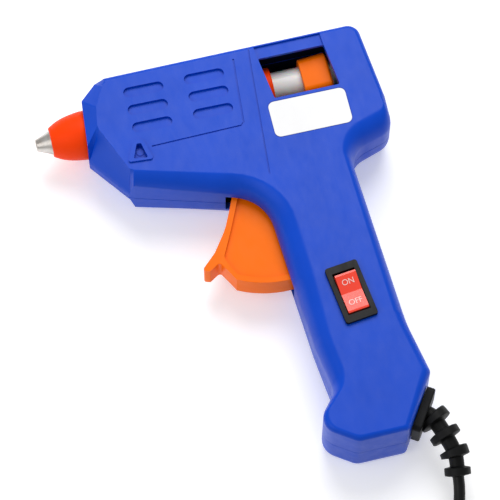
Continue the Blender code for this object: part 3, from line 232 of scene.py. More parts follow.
def node_copy(node, name, material, angle=1.0):
    """A copy of a CAD node's mesh with its doubles merged and its flat faces made whole."""
    piece = bpy.data.objects.new(name, NODES[node].data.copy())
    bpy.context.scene.collection.objects.link(piece)
    work = bmesh.new()
    work.from_mesh(piece.data)
    bmesh.ops.remove_doubles(work, verts=work.verts, dist=2e-6)
    bmesh.ops.dissolve_limit(work, angle_limit=math.radians(angle), verts=work.verts,
                             edges=work.edges)
    work.to_mesh(piece.data)
    work.free()
    piece.data.materials.clear()
    piece.data.materials.append(material)
    piece.data.shade_smooth()
    piece.data.set_sharp_from_angle(angle=math.radians(40.0))
    return piece


# ---- outlines and profiles ----------------------------------------------------------------
def rounded(corners, radii, steps):
    """A polygon with rounded corners. Each corner is the circular arc written as a rational
    quadratic curve: (a(1-t)^2 + 2wct(1-t) + bt^2) / ((1-t)^2 + 2wt(1-t) + t^2), where a and b
    are where the arc starts and ends, c is the corner and w the cosine of half its turn."""
    corners = np.asarray(corners, float)
    radii = np.asarray(radii, float)
    before = np.roll(corners, 1, axis=0) - corners
    after = np.roll(corners, -1, axis=0) - corners
    before_length = np.linalg.norm(before, axis=1)
    after_length = np.linalg.norm(after, axis=1)
    before /= before_length[:, None]
    after /= after_length[:, None]
    turn = math.pi - np.arccos(np.clip((before * after).sum(1), -1, 1))
    reach = radii * np.tan(turn / 2)
    reach = np.minimum(reach, 0.46 * np.minimum(before_length, after_length))
    reach = np.maximum(reach, 0.25)
    start = corners + before * reach[:, None]
    end = corners + after * reach[:, None]
    weight = np.cos(turn / 2)[:, None, None]
    t = np.linspace(0, 1, steps + 1)[None, :, None]
    bottom = (1 - t) ** 2 + 2 * weight * t * (1 - t) + t ** 2
    top = (start[:, None] * (1 - t) ** 2 + corners[:, None] * 2 * weight * t * (1 - t)
           + end[:, None] * t ** 2)
    return (top / bottom).reshape(-1, 2)


def inset(corners, radii, distance):
    """A polygon's corners moved in by distance on every side, with their radii."""
    corners = np.asarray(corners, float)
    along_in = corners - np.roll(corners, 1, axis=0)
    along_out = np.roll(corners, -1, axis=0) - corners
    along_in /= np.linalg.norm(along_in, axis=1)[:, None]
    along_out /= np.linalg.norm(along_out, axis=1)[:, None]
    x, y = corners.T
    turn = np.sign((np.roll(x, 1) * y - x * np.roll(y, 1)).sum())
    normal_in = np.column_stack([-along_in[:, 1], along_in[:, 0]]) * turn
    normal_out = np.column_stack([-along_out[:, 1], along_out[:, 0]]) * turn
    middle = normal_in + normal_out
    middle /= np.linalg.norm(middle, axis=1)[:, None]
    moved = corners + middle * (distance / (middle * normal_in).sum(1))[:, None]
    bend = (along_in[:, 0] * along_out[:, 1] - along_in[:, 1] * along_out[:, 0]) * turn
    radii = np.asarray(radii, float)
    return moved, np.where(bend > 0, np.maximum(radii - distance, 0.3), radii + distance)


def grip_x(y, offset):
    """A place in the grip that leans back with it."""
    return 99.0 + 0.0665 * (-48.0 - y) + offset


def at_butt(up, offset):
    y = up - BUTT_DROP
    return grip_x(y, offset), y


def corner_table():
    """The housing's corners, clockwise from the nose: place and fillet on the seam, the same
    on the flat side, the drop of the edge, and how much of it is a quarter ellipse."""
    top = BARREL_TOP
    back = REAR_X
    nose = NOSE_X
    edge = 2.2
    return (
        ((nose, 9.3), 1.2, (nose + 4.8, 3.4), 1.2, 4.6, 0.0),
        ((nose + 6.7, top), 1.0, (nose + 9.0, 11.8), 1.0, 4.6, 0.0),
        ((nose + 10.6, top), 1.0, (nose + 10.8, top - edge), 1.0, edge, 1.0),
        ((back - 3.9, top), 5.0, (back - 6.0, top - edge), 3.2, 2.6, 1.0),
        ((back - 0.9, -17.5), 9.0, (back - 3.2, -16.5), 6.0, 3.2, 1.0),
        ((back, -29.8), 7.0, (back - 2.6, -22.5), 2.5, 8.5, 0.8),
        ((116.8, -35.6), 9.5, (112.8, -29.0), 13.0, 8.5, 0.9),
        ((grip_x(-110.0, 16.3), -110.0), 60.0, (grip_x(-110.0, 12.0), -110.0), 60.0, 5.0, 1.0),
        (at_butt(20.8, 18.5), 2.6, at_butt(21.2, 14.6), 2.2, 4.0, 1.0),
        (at_butt(0.0, 3.3), 1.8, at_butt(1.8, 1.9), 1.6, 2.0, 1.0),
        (at_butt(0.0, -16.0), 6.0, at_butt(2.0, -15.3), 6.0, 2.2, 1.0),
        (at_butt(9.2, -28.6), 6.5, at_butt(10.4, -26.6), 6.0, 2.4, 1.0),
        (at_butt(22.6, -18.1), 8.0, at_butt(24.0, -11.8), 12.0, 6.5, 0.9),
        ((grip_x(-110.0, -19.2), -110.0), 40.0, (grip_x(-110.0, -12.6), -110.0), 40.0, 9.0, 0.9),
        ((grip_x(-84.0, -18.9), -84.0), 30.0, (grip_x(-84.0, -10.6), -84.0), 40.0, 9.0, 0.9),
        ((80.6, -45.8), 17.0, (89.2, -41.6), 27.0, 7.5, 0.7),
        ((32.6, -31.0), 1.0, (34.0, -25.9), 1.0, 4.2, 0.2),
        ((30.4, -30.0), 1.0, (32.3, -25.2), 1.0, 12.5, 0.0),
        ((nose - 2.4, -13.6), 1.0, (nose + 3.8, -6.2), 1.2, 12.0, 0.0),
        ((nose - 1.8, -9.8), 1.0, (nose + 3.5, -4.4), 1.2, 4.6, 0.0),
    )


def half_body(side, hollow=False, levels=10, steps=8):
    """Half of the housing. At share t of its rolled edge a point has moved from the seam
    outline towards the flat outline by s(1 - cos(90t)) + (1 - s)t, and has risen through the
    edge's drop by s sin(90t) + (1 - s)t, where s is the corner's softness."""
    table = corner_table()
    seam = np.array([row[0] for row in table])
    seam_radii = np.array([row[1] for row in table])
    flat = np.array([row[2] for row in table])
    flat_radii = np.array([row[3] for row in table])
    if hollow:
        seam, seam_radii = inset(seam, seam_radii, WALL)
        flat, flat_radii = inset(flat, flat_radii, WALL * 0.8)
    seam_line = rounded(seam, seam_radii, steps)
    flat_line = rounded(flat, flat_radii, steps)
    extra = LOWER_EXTRA if side < 0 else 0.0
    drops = np.repeat([min(row[4] + extra, THICK / 2 - 1.5) for row in table], steps + 1)
    soft = np.repeat([row[5] for row in table], steps + 1)
    height = THICK / 2 - (WALL if hollow else 0.0)
    t = np.linspace(0, 1, levels)[:, None]
    across = soft * (1 - np.cos(t * math.pi / 2)) + (1 - soft) * t
    rise = soft * np.sin(t * math.pi / 2) + (1 - soft) * t
    spots = seam_line + (flat_line - seam_line) * across[..., None]
    z = height - drops + drops * rise
    start = -1.0 if hollow else SEAM_GAP / 2
    first = np.column_stack([seam_line, np.full(len(seam_line), start)])[None]
    rings = np.concatenate([first, np.concatenate([spots, z[..., None]], -1)])
    rings[..., 2] = SEAM + side * rings[..., 2]
    return lofted(rings)


def turned(profile, y, z, sides=64):
    """A surface of revolution about the line along x at (y, z): the point at distance x and
    angle a is (x, y + r cos a, z + r sin a); profile is a closed loop of (x, r)."""
    profile = np.asarray(profile, float)
    angles = np.arange(sides) * 2 * math.pi / sides
    x = np.repeat(profile[:, :1], sides, axis=1)
    grid = np.stack([x, y + profile[:, 1:] * np.cos(angles),
                     z + profile[:, 1:] * np.sin(angles)], -1)
    return grid.reshape(-1, 3), grid_faces(len(profile), sides, closed_rows=True).tolist()


def eased(points, count):
    """A smooth line through points: count places at even steps of a Catmull-Rom curve."""
    points = np.asarray(points, float)
    line = np.vstack([2 * points[0] - points[1], points, 2 * points[-1] - points[-2]])
    t = np.linspace(0, 1, 33)[:-1][None, :, None]
    a, b, c, d = (line[k:len(line) - 3 + k, None] for k in range(4))
    fine = 0.5 * (2 * b + (c - a) * t + (2 * a - 5 * b + 4 * c - d) * t ** 2
                  + (3 * b - 3 * c + d - a) * t ** 3)
    fine = np.vstack([fine.reshape(-1, points.shape[1]), points[-1:]])
    along = np.concatenate([[0], np.cumsum(np.linalg.norm(np.diff(fine, axis=0), axis=1))])
    at = np.linspace(0, along[-1], count)
    return np.column_stack([np.interp(at, along, fine[:, k]) for k in range(fine.shape[1])])


def along_path(path, radii, sides=32):
    """A round body whose circle of radius r stands square to the path at each of its points."""
    path = np.asarray(path, float)
    tangent = np.gradient(path, axis=0)
    tangent /= np.linalg.norm(tangent, axis=1)[:, None]
    side = np.cross(tangent, (0.0, 0.0, 1.0))
    side /= np.linalg.norm(side, axis=1)[:, None]
    up = np.cross(side, tangent)
    angles = np.arange(sides) * 2 * math.pi / sides
    radii = np.asarray(radii, float)[:, None, None]
    rings = path[:, None] + radii * (side[:, None] * np.cos(angles)[None, :, None]
                                     + up[:, None] * np.sin(angles)[None, :, None])
    return lofted(rings)


def slot_outline(x, y, length, width, turn=0.0, ends=10):
    """A slot: two half circles of the slot's width joined by straight sides."""
    angles = np.linspace(-math.pi / 2, math.pi / 2, ends)
    half = (length - width) / 2
    arc = np.column_stack([np.cos(angles), np.sin(angles)]) * width / 2
    outline = np.vstack([arc + (half, 0), -arc - (half, 0)])
    spin = np.array([[math.cos(turn), -math.sin(turn)], [math.sin(turn), math.cos(turn)]])
    return outline @ spin.T + (x, y)


def band_outline(line, width):
    """A strip of one width along an open line: each point moved both ways along the mean of
    the normals of the two edges that meet there."""
    line = np.asarray(line, float)
    edge = np.diff(line, axis=0)
    edge /= np.linalg.norm(edge, axis=1)[:, None]
    before = np.vstack([edge[:1], edge])
    after = np.vstack([edge, edge[-1:]])
    mean = before + after
    mean /= np.linalg.norm(mean, axis=1)[:, None]
    normal = np.column_stack([-mean[:, 1], mean[:, 0]])
    square = np.column_stack([-before[:, 1], before[:, 0]])
    reach = width / 2 / np.maximum(0.4, (normal * square).sum(1))[:, None]
    return np.vstack([line - normal * reach, (line + normal * reach)[::-1]])


def box_outline(centre, length, height, radius, turn, steps=8):
    """A rectangle with round corners, turned about its middle."""
    spin = np.array([[math.cos(turn), -math.sin(turn)], [math.sin(turn), math.cos(turn)]])
    corners = np.array([(-1, -1), (1, -1), (1, 1), (-1, 1)]) * (length / 2, height / 2)
    return rounded(corners @ spin.T + centre, np.full(4, radius), steps)


def switch_place(u, v):
    """A place on the grip's side from the switch's axes: u along it, v across it."""
    cos, sin = math.cos(SWITCH_TURN), math.sin(SWITCH_TURN)
    return np.stack([SWITCH_AT[0] + v * cos - u * sin, SWITCH_AT[1] + v * sin + u * cos], -1)


def exit_axes():
    """Middle of the slanting corner of the butt, the way along it and the way out."""
    table = corner_table()
    heel = np.array(table[8][0])
    foot = np.array(table[9][0])
    along = (foot - heel) / np.linalg.norm(foot - heel)
    return (heel + foot) / 2, along, np.array([-along[1], along[0]])


def on_exit(along_by, out_by, z):
    middle, along, out = exit_axes()
    spot = middle + along * along_by + out * out_by
    return np.array([spot[0], spot[1], z])


def boot_path():
    """The boot's middle line: straight out of the butt, then over to the cord's heading."""
    start = on_exit(0, 0, SEAM)
    out = on_exit(0, 1, SEAM) - start
    return eased((start + out * 1.0, start + out * 5.4, (123.9, -153.6, 14.8),
                  (125.5, -160.8, 13.4), CORD_EXIT), 140)


def plug_place(along, across, z):
    cos, sin = math.cos(PLUG_TURN), math.sin(PLUG_TURN)
    return np.array([PLUG_AT[0] + along * cos - across * sin,
                     PLUG_AT[1] + along * sin + across * cos, z])


# ---- materials ----------------------------------------------------------------------------
def new_material(name):
    """A new node material. The plain one the CAD brought under this name is renamed."""
    plain = bpy.data.materials.get(name)
    if plain is not None:
        plain.name = name + "_plain"
    made = bpy.data.materials.new(name)
    made.use_nodes = True
    tree = made.node_tree
    return made, tree, tree.nodes["Principled BSDF"]


def noise(tree, scale, detail=3.0, rough=0.5, stretch=(1, 1, 1)):
    """Object-space noise, its cells stretched along an axis by a small scale there."""
    place = tree.nodes.new("ShaderNodeTexCoord")
    mapping = tree.nodes.new("ShaderNodeMapping")
    mapping.inputs["Scale"].default_value = stretch
    texture = tree.nodes.new("ShaderNodeTexNoise")
    texture.inputs["Scale"].default_value = scale
    texture.inputs["Detail"].default_value = detail
    texture.inputs["Roughness"].default_value = rough
    tree.links.new(place.outputs["Object"], mapping.inputs["Vector"])
    tree.links.new(mapping.outputs["Vector"], texture.inputs["Vector"])
    return texture.outputs["Fac"]


def ramp(tree, value, stops):
    """A colour ramp over value; stops are (place, colour)."""
    made = tree.nodes.new("ShaderNodeValToRGB")
    made.color_ramp.elements.remove(made.color_ramp.elements[1])
    made.color_ramp.elements[0].position = stops[0][0]
    made.color_ramp.elements[0].color = (*stops[0][1], 1)
    for place, colour in stops[1:]:
        made.color_ramp.elements.new(place).color = (*colour, 1)
    tree.links.new(value, made.inputs["Fac"])
    return made.outputs["Color"]


def spread(tree, value, low, high, start=0.3, end=0.7):
    """value carried from start..end to low..high."""
    made = tree.nodes.new("ShaderNodeMapRange")
    made.inputs["From Min"].default_value = start
    made.inputs["From Max"].default_value = end
    made.inputs["To Min"].default_value = low
    made.inputs["To Max"].default_value = high
    tree.links.new(value, made.inputs["Value"])
    return made.outputs["Result"]


def bump(tree, shader, value, strength, distance):
    made = tree.nodes.new("ShaderNodeBump")
    made.inputs["Strength"].default_value = strength
    made.inputs["Distance"].default_value = distance * 0.001
    tree.links.new(value, made.inputs["Height"])
    tree.links.new(made.outputs["Normal"], shader.inputs["Normal"])


def moulded(name, colour, gloss=0.42, vary=0.06, grain=2600.0, relief=0.04, scuffs=True,
            soft=0.0, specular=0.5):
    """Moulded plastic or rubber: slow shifts of colour, a fine spark-eroded grain, faint
    rub marks that raise the gloss, and a little light carried below the surface."""
    made, tree, shader = new_material(name)
    colour = np.array(colour)
    dark = tuple(np.clip(colour * (1 - vary), 0, 1))
    light = tuple(np.clip(colour * (1 + vary) + 0.004 * vary, 0, 1))
    patches = noise(tree, 45.0, 4.0, 0.6)
    base = ramp(tree, patches, ((0.3, dark), (0.7, light)))
    if scuffs:
        marks = noise(tree, 120.0, 6.0, 0.75, (1.0, 0.12, 0.5))
        worn = spread(tree, marks, 0.0, 0.16, 0.66, 0.76)
        mix = tree.nodes.new("ShaderNodeMix")
        mix.data_type = "RGBA"
        mix.inputs["B"].default_value = (*np.clip(colour * 1.25 + 0.012, 0, 1), 1)
        tree.links.new(worn, mix.inputs["Factor"])
        tree.links.new(base, mix.inputs["A"])
        base = mix.outputs["Result"]
    tree.links.new(base, shader.inputs["Base Color"])
    rub = noise(tree, 260.0, 5.0, 0.7, (1.0, 0.4, 1.0))
    tree.links.new(spread(tree, rub, gloss - 0.06, gloss + 0.08), shader.inputs["Roughness"])
    bump(tree, shader, noise(tree, grain, 2.0, 0.5), 0.35, relief)
    shader.inputs["Specular IOR Level"].default_value = specular
    shader.inputs["Subsurface Weight"].default_value = soft
    shader.inputs["Subsurface Scale"].default_value = 0.002
    return made


def metal(name, colour, gloss, stretch=(1, 1, 1), vary=0.15, tarnish=None):
    """Turned or drawn metal: fine lines round or along the piece, and a tarnish in patches."""
    made, tree, shader = new_material(name)
    colour = np.array(colour)
    second = np.array(tarnish) if tarnish else colour * (1 - vary)
    patches = noise(tree, 170.0, 5.0, 0.6)
    base = ramp(tree, patches, ((0.35, tuple(second)), (0.62, tuple(colour))))
    tree.links.new(base, shader.inputs["Base Color"])
    shader.inputs["Metallic"].default_value = 1.0
    lines = noise(tree, 1500.0, 3.0, 0.6, stretch)
    tree.links.new(spread(tree, lines, gloss - 0.08, gloss + 0.12), shader.inputs["Roughness"])
    bump(tree, shader, lines, 0.25, 0.02)
    return made


def hot_melt(name, colour):
    """Cloudy glue: slightly waxy and lit from within."""
    made, tree, shader = new_material(name)
    clouds = noise(tree, 90.0, 4.0, 0.6, (0.3, 1, 1))
    colour = np.array(colour)
    base = ramp(tree, clouds, ((0.3, tuple(colour * 0.9)), (0.7, tuple(colour))))
    tree.links.new(base, shader.inputs["Base Color"])
    tree.links.new(spread(tree, clouds, 0.25, 0.42), shader.inputs["Roughness"])
    shader.inputs["Subsurface Weight"].default_value = 0.4
    shader.inputs["Subsurface Scale"].default_value = 0.003
    bump(tree, shader, noise(tree, 700.0, 3.0, 0.5), 0.2, 0.03)
    return made


def pick(name):
    return bpy.data.materials[name]


# ---- settings -----------------------------------------------------------------------------
def colour_property(label, words, default):
    return bpy.props.FloatVectorProperty(name=label, description=words, size=3, min=0, max=1,
                                         subtype="COLOR", default=default)


class GlueGunColours(bpy.types.PropertyGroup):
    housing: colour_property("Housing", "Colour of the two housing halves",
                             (0.0, 0.060, 0.55))
    trigger: colour_property("Trigger", "Colour of the trigger and the pusher",
                             (1.0, 0.165, 0.0))
    silicone: colour_property("Silicone", "Colour of the nozzle's cover and the inlet sleeve",
                              (1.0, 0.052, 0.0))
    rocker: colour_property("Rocker", "Colour of the switch's rocker", (0.92, 0.060, 0.030))
    glue: colour_property("Glue", "Colour of the glue stick", (0.93, 0.92, 0.89))
    rubber: colour_property("Rubber", "Colour of the cord, its boot and its plug",
                            (0.0012, 0.0014, 0.0017))


class GlueGunSizes(bpy.types.PropertyGroup):
    edge: bpy.props.FloatProperty(
        name="Moulded edge", description="Radius left on the small moulded parts' edges",
        default=0.0005, min=0.0001, max=0.001, unit="LENGTH")
    camera_distance: bpy.props.FloatProperty(
        name="Camera distance", description="From the camera to the middle of the gun",
        default=1.05, min=0.5, max=3.0, unit="LENGTH")
    lens: bpy.props.FloatProperty(
        name="Lens", description="Focal length of the camera in millimetres",
        default=200.0, min=50.0, max=400.0)
    lamp: bpy.props.FloatProperty(
        name="Lamp", description="Power of the large soft lamp above the table",
        default=8.6, min=0.0, max=200.0, unit="POWER")
    room: bpy.props.FloatProperty(
        name="Room light", description="Strength of the even light from all around",
        default=0.47, min=0.0, max=3.0)


# ---- operators ----------------------------------------------------------------------------
class GlueGunMaterials(bpy.types.Operator):
    """Make the finishes and put them on the inner pieces that keep their own meshes"""
    bl_idname = "glue_gun.materials"
    bl_label = "Finishes"

    def execute(self, context):
        colours = context.scene.glue_gun_colours
        moulded("blue_plastic", colours.housing, 0.36, 0.05, 2300.0, 0.03, specular=0.18)
        moulded("orange_plastic", colours.trigger, 0.34, 0.05, 2300.0, 0.03, specular=0.08)
        moulded("red_silicone", colours.silicone, 0.46, 0.06, 1500.0, 0.05, False, specular=0.1)
        moulded("red_plastic", colours.rocker, 0.22, 0.04, 2600.0, 0.01, False, 0.0)
        moulded("black_plastic", (0.002, 0.002, 0.0025), 0.45, 0.25, 2100.0, 0.03, False,
                specular=0.22)
        moulded("black_rubber", colours.rubber, 0.50, 0.30, 1300.0, 0.05, False, specular=0.2)
        moulded("cord_rubber", colours.rubber, 0.44, 0.30, 900.0, 0.04, False, specular=0.25)
        moulded("label", (0.86, 0.86, 0.87), 0.48, 0.02, 1800.0, 0.01, False, specular=0.3)
        # painted shade: a near-black copy of the housing blue for the shell's inner walls, standing
        # in for the shade inside the hollow
        moulded("painted_shade_plastic", (0.003, 0.008, 0.035), 0.6, 0.1, 2300.0, 0.02, False,
                specular=0.15)
        moulded("ceramic", (0.70, 0.68, 0.62), 0.7, 0.08, 900.0, 0.05, False)
        moulded("brown_lead", (0.15, 0.05, 0.02), 0.45, 0.1, 900.0, 0.02, False)
        moulded("black_lead", (0.02, 0.02, 0.02), 0.45, 0.1, 900.0, 0.02, False)
        moulded("blue_lead", (0.02, 0.08, 0.40), 0.45, 0.1, 900.0, 0.02, False)
        moulded("print", (0.95, 0.62, 0.58), 0.4, 0.03, 1500.0, 0.01, False)
        metal("steel", (0.62, 0.62, 0.63), 0.30, (1, 1, 0.1))
        metal("nozzle_metal", (0.66, 0.65, 0.63), 0.34, (4.0, 0.2, 0.2), 0.2,
              (0.50, 0.46, 0.42))
        metal("aluminium", (0.55, 0.55, 0.56), 0.5, (1, 1, 1))
        hot_melt("glue", colours.glue)
        slots = {entry["node"]: entry["material_slot"] for entry in frame["record"]["subparts"]}
        for node, owner in NODES.items():
            owner.data.materials.clear()
            owner.data.materials.append(pick(slots[node]))
        return {"FINISHED"}


class GlueGunHousing(bpy.types.Operator):
    """Make the two housing halves with their openings, vents, panel lines and stand socket"""
    bl_idname = "glue_gun.housing"
    bl_label = "Housing"

    def execute(self, context):
        for side, name in ((1, "left_housing"), (-1, "right_housing")):
            points, faces = half_body(side)
            shell = mesh_object(name + "_skin", points, faces, pick("blue_plastic"))
            # the hollow's inner walls take the painted shade finish, dark where shade falls inside
            # the shell
            cut(shell, [half_body(side, hollow=True)], finish=pick("painted_shade_plastic"))
            if side > 0:
                arch = rounded(((32.4, -22.8), (36.2, -14.0), (39.9, -14.2), (42.3, -23.6)),
                               np.array([0.8, 2.2, 2.2, 0.8]), 6)
                cut(shell, [prism(arch, THICK - 3.0, THICK + 0.8)], "UNION")
            cut(shell, self.large_openings(side))
            cut(shell, self.marks(side))
            if side > 0:
                cut(shell, self.second_marks())
            settle(shell)
            cleaned(shell.data, 2e-6)
            shell.data.shade_smooth()
            shell.data.set_sharp_from_angle(angle=math.radians(32.0))
            finished(shell, "gun", (name,))
        return {"FINISHED"}

    def large_openings(self, side):
        """The nose's hole, the stick's way in, the cord's way out, the trigger's mouth and the
        switch's seat."""
        ring = ((NOSE_X - 12, 0.01), (NOSE_X - 12, COVER_R + GAP),
                (COVER_BACK + 0.6, COVER_R + GAP), (COVER_BACK + 0.6, 0.01))
        front = BUSH[0] - 0.6
        rear = ((front, 0.01), (front, STICK_R + 2.2), (REAR_X + 6, STICK_R + 2.2),
                (REAR_X + 6, 0.01))
        half = TRIGGER_THICK / 2 + GAP
        bottom = PIVOT[1] - TRIGGER_ARC - 4.2
        mouth = ((66.1, bottom), (91.0, bottom), (91.0, -36.0), (66.1, -36.0))
        leave = along_path([on_exit(0, by, SEAM) for by in (-8.0, -4.0, 4.0)], [3.8] * 3)
        shapes = [turned(ring, 0, SEAM), turned(rear, FEED_RISE, SEAM), leave,
                  prism(mouth, SEAM - half, SEAM + half)]
        if side > 0:
            u = SWITCH_BODY[1] / 2 + GAP
            v = SWITCH_BODY[0] / 2 + GAP
            seat = switch_place(np.array([-u, -u, u, u]), np.array([-v, v, v, -v]))
            shapes.append(prism(seat, SEAM + 3, THICK + 3))
        return shapes

    def marks(self, side):
        """Vents on both sides; the window, the label's seat and the panel line on the left;
        the screws' wells on the right."""
        places = [(45.0 + 24.1 * column, 6.4 - 7.7 * row) for column in (0, 1)
                  for row in range(3)]
        turn = math.radians(-1.0)
        if side < 0:
            wells = [prism(slot_outline(x, y, 6.001, 6.0), -1, 4.2) for x, y in SCREWS]
            vents = [prism(slot_outline(x, y, *SLOT, turn), -1, VENT_SINK) for x, y in places]
            return wells + vents
        left, right, low, high = WINDOW
        hole = rounded(((left + 1.9, low), (right + 0.6, low), (right - 1.4, high + 0.6),
                        (left - 0.4, high + 0.6)), np.full(4, 0.8), 5)
        label = box_outline(LABEL_AT, LABEL[0] + 0.5, LABEL[1] + 0.5, 2.6, math.radians(-0.5))
        panel = band_outline(((42.8, -18.1), (78.4, -17.6), (79.4, -16.4), (81.0, 2.0),
                              (81.9, 11.0)), 0.7)
        vents = [prism(slot_outline(x, y, *SLOT, turn), THICK - VENT_SINK, THICK + 2)
                 for x, y in places]
        return [prism(hole, SEAM + 3, THICK + 3), prism(label, THICK - 0.25, THICK + 2),
                prism(panel, THICK - LINE_SINK, THICK + 2)] + vents

    def second_marks(self):
        """The long line behind the panel, the step above the window, and the stand's pocket
        and hole."""
        left, right, _, high = WINDOW
        line = band_outline(((89.0, BARREL_TOP + 3), (87.7, 4.7), (85.9, -17.0),
                             (83.9, -40.0)), 0.6)
        step = ((left - 0.4, high - 0.4), (right - 1.4, high - 0.4), (right - 1.7, high + 5.5),
                (left - 0.9, high + 5.5))
        pocket = rounded(((34.8, -21.9), (40.3, -22.6), (38.9, -16.0), (37.2, -16.0)),
                         np.array([0.5, 0.5, 0.6, 0.6]), 5)
        hole = slot_outline(37.9, -18.8, 2.801, 2.8)
        return [prism(line, THICK - LINE_SINK, THICK + 2), prism(step, THICK - BAR_SINK, THICK + 3),
                prism(pocket, THICK - 1.9, THICK + 2), prism(hole, THICK - 5.4, THICK - 1.6)]


class GlueGunNozzle(bpy.types.Operator):
    """Make the turned nozzle and its silicone cover"""
    bl_idname = "glue_gun.nozzle"
    bl_label = "Nozzle"

    def execute(self, context):
        outer = eased(((0.0, 0.8), (0.0, 1.9), (0.25, 2.4), (0.9, 2.62), (3.5, 3.7),
                       (5.8, 4.72), (6.6, 4.8), (12.0, 4.8)), 40)
        inner = np.array(((26.8, 4.8), (26.8, 4.0), (32.8, 4.0), (32.8, 1.6), (4.0, 1.6)))
        piece = mesh_object("nozzle_turned", *turned(np.vstack([outer, inner]), 0, SEAM, 72),
                            pick("nozzle_metal"))
        finished(piece, "gun", ("nozzle_tip",))
        bore = 5.1
        outside = eased(((6.0, bore), (6.0, 5.55), (6.35, 5.95), (7.4, 6.55), (9.6, 7.65),
                         (12.8, 8.65), (16.2, 9.28), (19.4, 9.6), (26.4, 9.6)), 60)
        inside = np.array(((26.6, 9.4), (26.6, bore)))
        piece = mesh_object("nozzle_boot", *turned(np.vstack([outside, inside]), 0, SEAM, 72),
                            pick("red_silicone"))
        finished(piece, "gun", ("nozzle_cover",))
        return {"FINISHED"}


class GlueGunFeed(bpy.types.Operator):
    """Make what shows through the window: the stick, the sleeve, the pusher and the rear bush"""
    bl_idname = "glue_gun.feed"
    bl_label = "Feed"

    def execute(self, context):
        r = STICK_R
        stick = ((52.0, 0.01), (52.0, r - 0.9), (52.3, r - 0.3), (52.9, r), (90.0, r),
                 (128.5, r), (128.9, r - 0.3), (129.0, r - 0.7), (129.0, 0.01))
        piece = mesh_object("stick_of_glue", *turned(stick, FEED_RISE, SEAM), pick("glue"))
        finished(piece, "stick", ("glue_stick",))
        sleeve = ((68.3, 7.25), (68.3, 8.35), (94.6, 8.35), (95.1, 8.2), (95.4, 7.8),
                  (95.4, 7.3), (94.9, 7.1), (94.2, 7.25))
        piece = mesh_object("sleeve", *turned(sleeve, FEED_RISE, SEAM), pick("red_silicone"))
        finished(piece, "gun", ("inlet_sleeve",))
        bush = r + 1.9
        start, end = BUSH
        profile = ((start, 6.2), (start, bush), (end - 0.7, bush), (end - 0.2, bush - 0.15),
                   (end, bush - 0.5), (end, 6.9), (end - 0.3, 6.5), (end - 0.8, 6.2))
        piece = mesh_object("stick_bush", *turned(profile, FEED_RISE, SEAM),
                            pick("black_plastic"))
        finished(piece, "gun", ("rear_bush",))
        edge = context.scene.glue_gun_sizes.edge * 1000
        piece = node_copy("feed_carriage", "pusher", pick("orange_plastic"))
        finished(piece, "carriage", ("feed_carriage",), edge * 0.6, 2)
        return {"FINISHED"}


class GlueGunTrigger(bpy.types.Operator):
    """Make the trigger with its raised rim and softened edges"""
    bl_idname = "glue_gun.trigger"
    bl_label = "Trigger"

    def execute(self, context):
        edge = context.scene.glue_gun_sizes.edge * 1000
        piece = node_copy("trigger", "trigger_moulding", pick("orange_plastic"))
        finished(piece, "trigger", ("trigger",), edge, 3)
        return {"FINISHED"}


class GlueGunSwitch(bpy.types.Operator):
    """Make the rocker switch: its bezel, its two-sided rocker and the plain on and off print"""
    bl_idname = "glue_gun.switch"
    bl_label = "Switch"

    def execute(self, context):
        edge = context.scene.glue_gun_sizes.edge * 1000
        piece = node_copy("switch_body", "switch_bezel", pick("black_plastic"), 0.0)
        finished(piece, "gun", ("switch_body",), edge * 0.3, 2, 60.0)
        piece = mesh_object("rocker", *self.rocker(), pick("red_plastic"), 10.0)
        finished(piece, "rocker", ("switch_rocker",))
        for text, centre in (("ON", 4.0), ("OFF", -4.0)):
            self.lettering(text, centre)
        return {"FINISHED"}

    def rocker(self):
        """A V-topped profile in the plane of the tilt, drawn out across the switch."""
        half = ROCKER_HALF
        top = ROCKER_CREST + half * math.tan(ROCKER_TILT)
        back, rise = ROCKER_LIP
        profile = np.array([(-half, -3.2), (half, -3.2), (half + 0.3, -1.0), (half, top),
                            (half - back, top + rise), (0.0, ROCKER_CREST),
                            (-half + back, top + rise), (-half, top), (-half - 0.3, -1.0)])
        cos, sin = math.cos(ROCKER_TILT), math.sin(ROCKER_TILT)
        along = profile[:, 0] * cos - profile[:, 1] * sin
        height = ROCKER_HINGE_Z + profile[:, 0] * sin + profile[:, 1] * cos
        rings = [np.column_stack([switch_place(along, np.full(len(along), across)), height])
                 for across in (-ROCKER_REACH, ROCKER_REACH)]
        return lofted(np.stack(rings))

    def lettering(self, text, centre):
        """Flat print laid on the rocker: a letter's point (a, b) goes to u = centre + b along
        the rocker and v = a across it, raised to the V-shaped face and tilted with it."""
        curve = bpy.data.curves.new(text, "FONT")
        curve.body = text
        curve.size = 3.1
        curve.extrude = 0.03
        curve.align_x = "CENTER"
        curve.align_y = "CENTER"
        holder = bpy.data.objects.new("holder", curve)
        bpy.context.scene.collection.objects.link(holder)
        bpy.context.view_layer.update()
        graph = bpy.context.evaluated_depsgraph_get()
        mesh = bpy.data.meshes.new_from_object(holder.evaluated_get(graph), depsgraph=graph)
        bpy.data.objects.remove(holder, do_unlink=True)
        flat = np.zeros(len(mesh.vertices) * 3)
        mesh.vertices.foreach_get("co", flat)
        flat = flat.reshape(-1, 3)
        u = centre + flat[:, 1]
        back, rise = ROCKER_LIP
        slope = (ROCKER_HALF * math.tan(ROCKER_TILT) + rise) / (ROCKER_HALF - back)
        w = ROCKER_CREST + np.abs(u) * slope + 0.12 + flat[:, 2]
        cos, sin = math.cos(ROCKER_TILT), math.sin(ROCKER_TILT)
        spots = switch_place(u * cos - w * sin, flat[:, 0])
        height = ROCKER_HINGE_Z + u * sin + w * cos
        points = placed(np.column_stack([spots, height]))
        mesh.vertices.foreach_set("co", points.ravel())
        mesh.materials.clear()
        mesh.materials.append(pick("print"))
        cleaned(mesh)
        piece = bpy.data.objects.new("print_" + text.lower(), mesh)
        bpy.context.scene.collection.objects.link(piece)
        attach(piece, "rocker")


